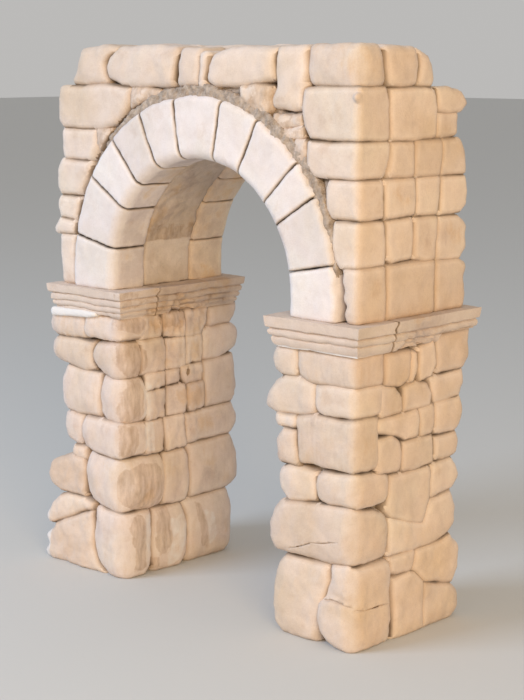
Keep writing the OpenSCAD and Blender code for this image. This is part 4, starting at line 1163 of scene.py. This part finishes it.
# Rubble vault: small stones in lime mortar between the two rings, with a plastered block on
# each side at its foot, all stained to a warm tan.
VAULT_BLOCK_TOP = 4.38
VAULT_GRAIN = 0.032
VAULT_RELIEF = 0.032
vault_rubble = limestone("vault_rubble", (0.69, 0.61, 0.53), (0.55, 0.46, 0.38), (0.24, 0.18, 0.12),
                         bump=0.8)
vault = join_as("rubble_vault_strip", stones_of("rubble_vault"))
even_faces(vault, VAULT_GRAIN)
soften(vault, VAULT_GRAIN, 0.02, 0)
points = points_of(vault)
rubble = np.clip((points[:, 2] - VAULT_BLOCK_TOP) / 0.04, 0, 1)
rough = bumps_at(points, 3.5) + 0.45 * bumps_at(points, 13)
push_out(vault, VAULT_RELIEF * rubble * rough)
above = points_of(vault)[:, 2] - VAULT_BLOCK_TOP
mark(vault, "tint", np.where(rubble > 0.5, 0.2, 1))
mark(vault, "joint", np.clip(1 - np.abs(above) / 0.03, 0, 1))
mark(vault, "cloud_stain_and_shade", rubble * np.clip(0.5 + rough, 0, 1))
mark(vault, "stain", rubble * np.clip(0.75 - above / 0.8, 0, 1))
roughen(vault, wander=0.015, lumps=0.02, pits=0.02)
finish_piece(vault, vault_rubble, "mortar", "rubble_vault")

# Haunch courses: squared limestone blocks beside the ring, five courses to a side, stepping in
# over the extrados, with flatter faces than the piers. On the right they turn the corner.
HAUNCH_FRONT_Y = -0.985
HAUNCH_SIDE_X = 2.735
KNOB = (2.7, -0.96, 6.32)
KNOB_SIZE = 0.05
KNOB_OUT = 0.07
KNOB_LIME = 0.25
# Dark cloudy patches on the side of the right haunch: partly smudges, partly painted shade of dents in the
# faces
SMUDGES_AND_DENT_SHADE = [
    [(-0.24, 6.05), (-0.07, 6.11), (0.11, 6.06), (0.04, 5.98), (-0.14, 5.97)],
    [(-0.41, 5.29), (-0.25, 5.33), (-0.05, 5.29), (0.04, 5.18), (-0.19, 5.12), (-0.39, 5.14)],
    [(0.42, 4.85), (0.66, 4.87), (0.88, 4.77), (0.84, 4.63), (0.57, 4.61), (0.42, 4.71)]]
RIGHT_HAUNCH = [
    # Course 1
    [("corner", 0.032, [(2.48, 4.45), (2.95, 4.45), (2.95, 3.835), (2.56, 3.835), (2.51, 3.93),
       (2.56, 4.02), (2.5, 4.1), (2.54, 4.2), (2.5, 4.3), (2.52, 4.4)],
      [(-1.25, 4.45), (-0.49, 4.45), (-0.49, 3.835), (-1.25, 3.835)]),
     ("side", 0.032, [(-0.47, 4.45), (0.39, 4.45), (0.39, 3.835), (-0.47, 3.835)]),
     ("quoin", 0.032, [(0.41, 4.44), (0.85, 4.42), (0.97, 4.35), (1, 4.3), (0.96, 4.2), (1, 4),
       (0.95, 3.835), (0.41, 3.835)])],
    # Course 2
    [("corner", 0.032, [(2.36, 4.95), (2.95, 4.97), (2.95, 4.47), (2.45, 4.46), (2.38, 4.55),
       (2.34, 4.75)],
      [(-1.25, 4.97), (-0.52, 4.95), (-0.5, 4.7), (-0.5, 4.46), (-1.25, 4.47)]),
     ("side", 0.032, [(-0.48, 4.95), (-0.02, 4.96), (0, 4.8), (-0.01, 4.5), (-0.4, 4.48), (-0.47, 4.55)]),
     ("side", 0.032, [(0.01, 4.96), (0.43, 4.95), (0.43, 4.75), (0.39, 4.46), (0.2, 4.45), (0.01, 4.5)]),
     ("quoin", 0.032, [(0.45, 4.94), (0.85, 4.93), (1, 4.8), (0.98, 4.7), (1, 4.55), (0.88, 4.42),
       (0.42, 4.44)])],
    # Course 3
    [("corner", 0.032, [(2.28, 5.41), (2.5, 5.42), (2.95, 5.42), (2.95, 4.99), (2.3, 5), (2.25, 5.1),
       (2.24, 5.3)],
      [(-1.25, 5.42), (-0.56, 5.41), (-0.54, 5.2), (-0.53, 4.98), (-1.25, 4.99)]),
     ("side", 0.032, [(-0.53, 5.41), (0.01, 5.41), (0.03, 5.2), (0.02, 5), (-0.51, 4.98)]),
     ("side", 0.032, [(0.04, 5.41), (0.48, 5.41), (0.48, 5.2), (0.43, 4.98), (0.04, 4.99)]),
     ("quoin", 0.032, [(0.5, 5.4), (0.97, 5.39), (1, 5.2), (0.98, 5.05), (0.88, 4.97), (0.46, 4.97),
       (0.49, 5.2)])],
    # Course 4
    [("corner", 0.032, [(1.97, 5.83), (2.3, 5.82), (2.95, 5.84), (2.95, 5.44), (2.4, 5.44),
       (2.05, 5.46), (1.97, 5.55)],
      [(-1.25, 5.84), (-0.42, 5.83), (-0.44, 5.65), (-0.52, 5.44), (-1.25, 5.45)]),
     ("side", 0.032, [(-0.41, 5.82), (-0.01, 5.82), (0, 5.6), (-0.01, 5.43), (-0.49, 5.44),
       (-0.43, 5.65)]),
     ("side", 0.032, [(0.01, 5.83), (0.49, 5.82), (0.5, 5.65), (0.47, 5.42), (0, 5.42)]),
     ("quoin", 0.032, [(0.51, 5.82), (0.85, 5.82), (0.95, 5.68), (0.98, 5.5), (0.97, 5.41),
       (0.49, 5.42), (0.52, 5.6)])],
    # Course 5
    [("corner", 0.032, [(1.9, 6.4), (2.2, 6.43), (2.95, 6.43), (2.95, 5.86), (2.3, 5.85), (1.98, 5.87),
       (1.9, 6), (1.87, 6.2)],
      [(-1.25, 6.43), (-0.5, 6.43), (-0.45, 6.3), (-0.44, 5.85), (-1.25, 5.87)]),
     ("side", 0.032, [(-0.45, 6.41), (0.2, 6.42), (0.35, 6.38), (0.4, 6.2), (0.39, 5.87), (0, 5.84),
       (-0.43, 5.85)]),
     ("quoin", 0.032, [(0.37, 6.4), (0.6, 6.41), (0.85, 6.35), (0.97, 6.22), (0.85, 6.15), (0.6, 6.13),
       (0.41, 6.15)]),
     ("quoin", 0.032, [(0.4, 6.14), (0.78, 6.14), (0.8, 6), (0.78, 5.86), (0.4, 5.86)])]]
LEFT_HAUNCH = [
    # Course 1
    [("front", 0.05, [(-2.42, 4.47), (-2.1, 4.48), (-2.13, 4.2), (-2.1, 3.835), (-2.38, 3.835),
       (-2.4, 4.1)])],
    # Course 2
    [("front", 0.05, [(-2.42, 4.97), (-2, 4.97), (-2.05, 4.8), (-2.1, 4.68), (-2.4, 4.7), (-2.45, 4.85)]),
     ("front", 0.05, [(-2.4, 4.68), (-2.1, 4.66), (-2.12, 4.5), (-2.5, 4.5), (-2.52, 4.56)])],
    # Course 3
    [("front", 0.05, [(-2.35, 5.45), (-1.78, 5.43), (-1.85, 5.25), (-1.98, 5.02), (-2.4, 5),
       (-2.45, 5.1), (-2.45, 5.3)])],
    # Course 4
    [("front", 0.05, [(-2.33, 5.85), (-1.67, 5.85), (-1.66, 5.62), (-1.75, 5.48), (-2, 5.46),
       (-2.3, 5.47), (-2.34, 5.6)])],
    # Course 5
    [("front", 0.05, [(-2.35, 6.38), (-1.9, 6.38), (-1.5, 6.42), (-1.02, 6.37), (-1.05, 6.2),
       (-1.12, 6.08), (-1.3, 5.95), (-1.5, 5.88), (-2, 5.87), (-2.3, 5.88), (-2.38, 5.95), (-2.38, 6.2)])]]
TOP_BAND = [(-2.15, 6.43), (2.95, 6.43), (2.95, 6.8), (-2.15, 6.8)]
TOP_RETURN = [(-1.25, 6.43), (0.35, 6.43), (0.35, 6.8), (-1.25, 6.8)]
RING_DISC = []
for i in range(21):
    turn = i / 20 * math.pi
    RING_DISC.append((RING_X + RING_OUT * math.cos(turn), RING_Z + RING_OUT * math.sin(turn)))
RING_DISC += [(RING_X - RING_OUT, RING_FOOT), (RING_X + RING_OUT, RING_FOOT)]
haunch_rows = sum(RIGHT_HAUNCH + LEFT_HAUNCH, [])
upper_wall = wall_of(haunch_rows, [IMPOST_BAND, TOP_RETURN], [IMPOST_BAND, TOP_BAND, RING_DISC])
# The wall stone has warm side light painted on the outer side of the right haunch and top course
wall_stone = limestone("wall_limestone", (0.79, 0.69, 0.60), (0.73, 0.60, 0.485), (0.25, 0.18, 0.125),
                       painted_side_light_x=HAUNCH_SIDE_X - PAINTED_SIDE_LIGHT_START)


def grow_knob(stone):
    """Raises the knob left for lifting on the arris of a block, on a patch of finer faces."""
    only(stone)
    for face in stone.data.polygons:
        face.select = (face.center - Vector(KNOB)).length < 3 * KNOB_SIZE
    bpy.ops.object.mode_set(mode="EDIT")
    bpy.ops.mesh.select_mode(type="FACE")
    bpy.ops.mesh.subdivide(number_cuts=3)
    bpy.ops.object.mode_set(mode="OBJECT")
    points = points_of(stone)
    knob = np.exp(-(np.linalg.norm(points - KNOB, axis=1) / KNOB_SIZE) ** 4)
    outward = Vector((0.35, -0.9, 0.1)).normalized()
    set_points(stone, points + KNOB_OUT * knob[:, None] * np.array(outward))
    mark(stone, "lime", KNOB_LIME * knob)


for side, haunch in (("right", RIGHT_HAUNCH), ("left", LEFT_HAUNCH)):
    for i, rows in enumerate(haunch):
        node = f"{side}_haunch_course_{i + 1}"
        stones = drawn_course(node, rows, upper_wall, HAUNCH_FRONT_Y, HAUNCH_SIDE_X, side == "right")
        if node == "right_haunch_course_5":
            grow_knob(stones[-len(rows)])
        course = join_as(node + "_stones", stones)
        roughen(course, wander=0.016, lumps=0.03, pits=0.010)
        # The smudges and the painted dent shade go on the right side only
        if side == "right":
            mark_stains(course, "cloud_stain_and_shade", SMUDGES_AND_DENT_SHADE, HAUNCH_SIDE_X, soft=0.3, floor=0, full=0.9)
        finish_piece(course, wall_stone, "limestone", node)

# Spandrel fill: rubble and grey-brown mortar packed between the squared stones and the ring,
# with a crumbling strip of pointing around the back of the front ring.
POINTING_Y = -0.975
POINTING_DEPTH = 0.12
POINTING_LAP = 0.06
# Each pair: the angle around the ring and how far the pointing reaches beyond it
POINTING = [(2, -0.05), (12, 0.03), (30, 0.08), (40, 0.12), (110, 0.12), (125, 0.07), (140, 0.02),
            (150, -0.02)]
inner, outer = [], []
for turn in range(2, 151, 4):
    across, up = math.cos(math.radians(turn)), math.sin(math.radians(turn))
    lap = RING_OUT - POINTING_LAP
    reach = RING_OUT + float(np.interp(turn, *np.array(POINTING).T))
    inner.append((RING_X + lap * across, RING_Z + lap * up))
    outer.append((RING_X + reach * across, RING_Z + reach * up))
fill_mortar = mortar("spandrel_mortar", (0.26, 0.2, 0.155), (0.57, 0.475, 0.4), lumps=14)
fill = join_as("spandrel_rubble", stones_of("spandrel_fill"))
wear_down(fill, "spandrel_fill", grain=0.05, rounding=0.01, swell=0.0)
pointing = prism("pointing", inner + outer[::-1], "y", POINTING_Y, POINTING_Y + POINTING_DEPTH)
even_faces(pointing, 0.02)
points = points_of(pointing)
push_out(pointing, 0.02 * (bumps_at(points, 9) + bumps_at(points, 24)))
fill = join_as("spandrel_rubble", [fill, pointing])
roughen(fill, wander=0.03, lumps=0.05, pits=0.04)
finish_piece(fill, fill_mortar, "mortar", "spandrel_fill")

# Packing stones: splinters of limestone wedged into the wet mortar over the ring, to level the
# bed between the last voussoirs and the stones above.
PACKING_Y = -0.975
PACKING_DEPTH = 0.22
PACKING_STAIN = 0.5
PACKING = [
    [(-1, 6.38), (-0.7, 6.39), (-0.5, 6.36), (-0.5, 6.31), (-0.65, 6.27), (-0.82, 6.22), (-1.03, 6.12)],
    [(0.88, 6.43), (1.16, 6.45), (1.4, 6.44), (1.38, 6.3), (1.38, 6.18), (1.3, 6.12), (1.14, 6.14),
     (1, 6.22), (0.9, 6.33)],
    [(1.4, 6.12), (1.85, 6.1), (1.86, 6.02), (1.6, 5.96), (1.4, 6.03)],
    [(1.55, 5.94), (1.88, 5.98), (1.9, 5.88), (1.65, 5.84)],
    [(1.75, 5.85), (1.93, 5.83), (1.95, 5.7), (1.86, 5.58), (1.76, 5.62), (1.72, 5.75)],
    [(-1.64, 5.86), (-1.36, 5.87), (-1.48, 5.74), (-1.64, 5.58)]]
stones = []
for outline in PACKING:
    stones.append(front_stone("packing", outline, upper_wall, rounding=0.05, front_y=PACKING_Y,
                              back_y=PACKING_Y + PACKING_DEPTH, grain=0.022))
packing = join_as("packing_splinters", stones)
roughen(packing, wander=0.03, lumps=0.05, pits=0.04)
mark_all(packing, "stain", PACKING_STAIN)
finish_piece(packing, wall_stone, "warm_limestone", "packing_stones")

# Top course: irregular limestone blocks left on the wall head, one of them tall, with the back
# right corner broken away, and the rubble between them.
TOP_COURSE = [
    ("front", 0.065, [(-1.95, 6.84), (-1.6, 6.88), (-1.25, 6.86), (-1.42, 6.77), (-1.5, 6.68),
      (-1.47, 6.55), (-1.42, 6.43), (-1.9, 6.41), (-2.12, 6.42), (-2.12, 6.48), (-2.05, 6.55)]),
    ("front", 0.065, [(-1.2, 6.86), (-0.5, 6.88), (-0.2, 6.85), (-0.17, 6.78), (-0.22, 6.6),
      (-0.25, 6.43), (-0.6, 6.41), (-1.2, 6.42), (-1.42, 6.5), (-1.47, 6.62), (-1.4, 6.75)]),
    ("front", 0.065, [(-0.1, 6.84), (0.2, 6.84), (0.24, 6.7), (0.22, 6.55), (0.2, 6.42), (-0.17, 6.42),
      (-0.14, 6.6)]),
    ("front", 0.065, [(0.24, 6.8), (0.38, 6.8), (0.36, 6.65), (0.31, 6.5), (0.3, 6.42), (0.22, 6.42),
      (0.25, 6.6)]),
    ("front", 0.065, [(0.45, 6.78), (0.7, 6.84), (1.45, 6.85), (1.43, 6.7), (1.45, 6.5), (1.1, 6.46),
      (0.8, 6.42), (0.5, 6.43), (0.33, 6.5), (0.38, 6.65)]),
    ("front", 0.065, [(1.48, 6.86), (1.9, 6.86), (1.92, 6.6), (1.88, 6.4), (1.86, 6.2), (1.7, 6.17),
      (1.4, 6.2), (1.37, 6.28), (1.46, 6.45), (1.45, 6.6)]),
    ("corner", 0.115, [(1.94, 6.87), (2.4, 6.9), (2.95, 6.89), (2.95, 6.44), (2.4, 6.43), (2, 6.46),
      (1.93, 6.6)],
     [(-1.25, 6.89), (-0.58, 6.87), (-0.54, 6.7), (-0.5, 6.5), (-0.52, 6.44), (-1.25, 6.45)]),
    ("side", 0.07, [(-0.5, 6.87), (0, 6.85), (0.06, 6.7), (0.04, 6.46), (-0.2, 6.44), (-0.46, 6.45),
      (-0.5, 6.65)]),
    ("side", 0.07, [(0.06, 6.84), (0.25, 6.76), (0.33, 6.65), (0.35, 6.5), (0.3, 6.43), (0.05, 6.44),
      (0.09, 6.65)])]
TOP_CORNER = 6
top_wall = wall_of(haunch_rows + TOP_COURSE, [], [RING_DISC])
stones = drawn_course("top_course", TOP_COURSE, top_wall, HAUNCH_FRONT_Y, HAUNCH_SIDE_X)
dull(stones[TOP_CORNER - len(TOP_COURSE)])
top = join_as("top_course_stones", stones)
roughen(top, wander=0.02, lumps=0.05, pits=0.012)
finish_piece(top, wall_stone, "limestone", "top_course")
head = join_as("top_rubble", stones_of("top_fill"))
wear_down(head, "top_fill", grain=0.06, rounding=0.02, swell=0.0)
roughen(head, wander=0.03, lumps=0.12, pits=0.05)
finish_piece(head, fill_mortar, "mortar", "top_fill")

# Studio: a plain pale floor under an even, faintly warm sky, with a cool soft box at the front
# left and a warm one at the right.
FLOOR_SIZE = 400
SKY_STRENGTH = 0.5
AIM = (0, 0, 3.4)
BOX_SIZE = 18
bpy.ops.object.select_all(action="DESELECT")
bpy.ops.mesh.primitive_plane_add(size=FLOOR_SIZE)
floor = bpy.context.active_object
floor.name = "floor"
floor_paint = bpy.data.materials.new("floor_paint")
floor_paint.use_nodes = True
floor_shader = floor_paint.node_tree.nodes["Principled BSDF"]
floor_shader.inputs["Base Color"].default_value = (0.62, 0.62, 0.61, 1)
floor_shader.inputs["Roughness"].default_value = 0.9
floor.data.materials.append(floor_paint)

sky = bpy.data.worlds.new("studio")
sky.use_nodes = True
sky.node_tree.nodes["Background"].inputs["Color"].default_value = (1, 0.985, 0.965, 1)
sky.node_tree.nodes["Background"].inputs["Strength"].default_value = SKY_STRENGTH
bpy.context.scene.world = sky
bpy.context.scene.view_settings.view_transform = "Standard"


def soft_light(name, place, power, colour):
    """A square soft box that faces the middle of the arch."""
    light = bpy.data.lights.new(name, "AREA")
    light.size = BOX_SIZE
    light.energy = power
    light.color = colour
    lamp = bpy.data.objects.new(name, light)
    lamp.location = place
    lamp.rotation_euler = (Vector(AIM) - Vector(place)).to_track_quat("-Z", "Y").to_euler()
    bpy.context.scene.collection.objects.link(lamp)


soft_light("front_box", (-13, -29, 24), power=8600, colour=(0.63, 0.78, 1))
soft_light("right_box", (28, -20, 12), power=7700, colour=(1, 0.73, 0.40))

# Camera: stands well off to the right of the front, at the height of the top course, and looks
# a little down at the arch through a long lens.
CAMERA_PLACE = (14.411, -14.648, 6.784)
CAMERA_TURN = math.radians(43.87)
CAMERA_TILT = math.radians(10.17)
CAMERA_LENS = 84.65
back = Vector((math.sin(CAMERA_TURN) * math.cos(CAMERA_TILT),
               -math.cos(CAMERA_TURN) * math.cos(CAMERA_TILT), math.sin(CAMERA_TILT)))
camera = bpy.data.objects.new("camera", bpy.data.cameras.new("camera"))
camera.location = CAMERA_PLACE
camera.rotation_euler = (-back).to_track_quat("-Z", "Y").to_euler()
camera.data.lens = CAMERA_LENS
camera.data.sensor_width = 36
bpy.context.scene.collection.objects.link(camera)
bpy.context.scene.camera = camera
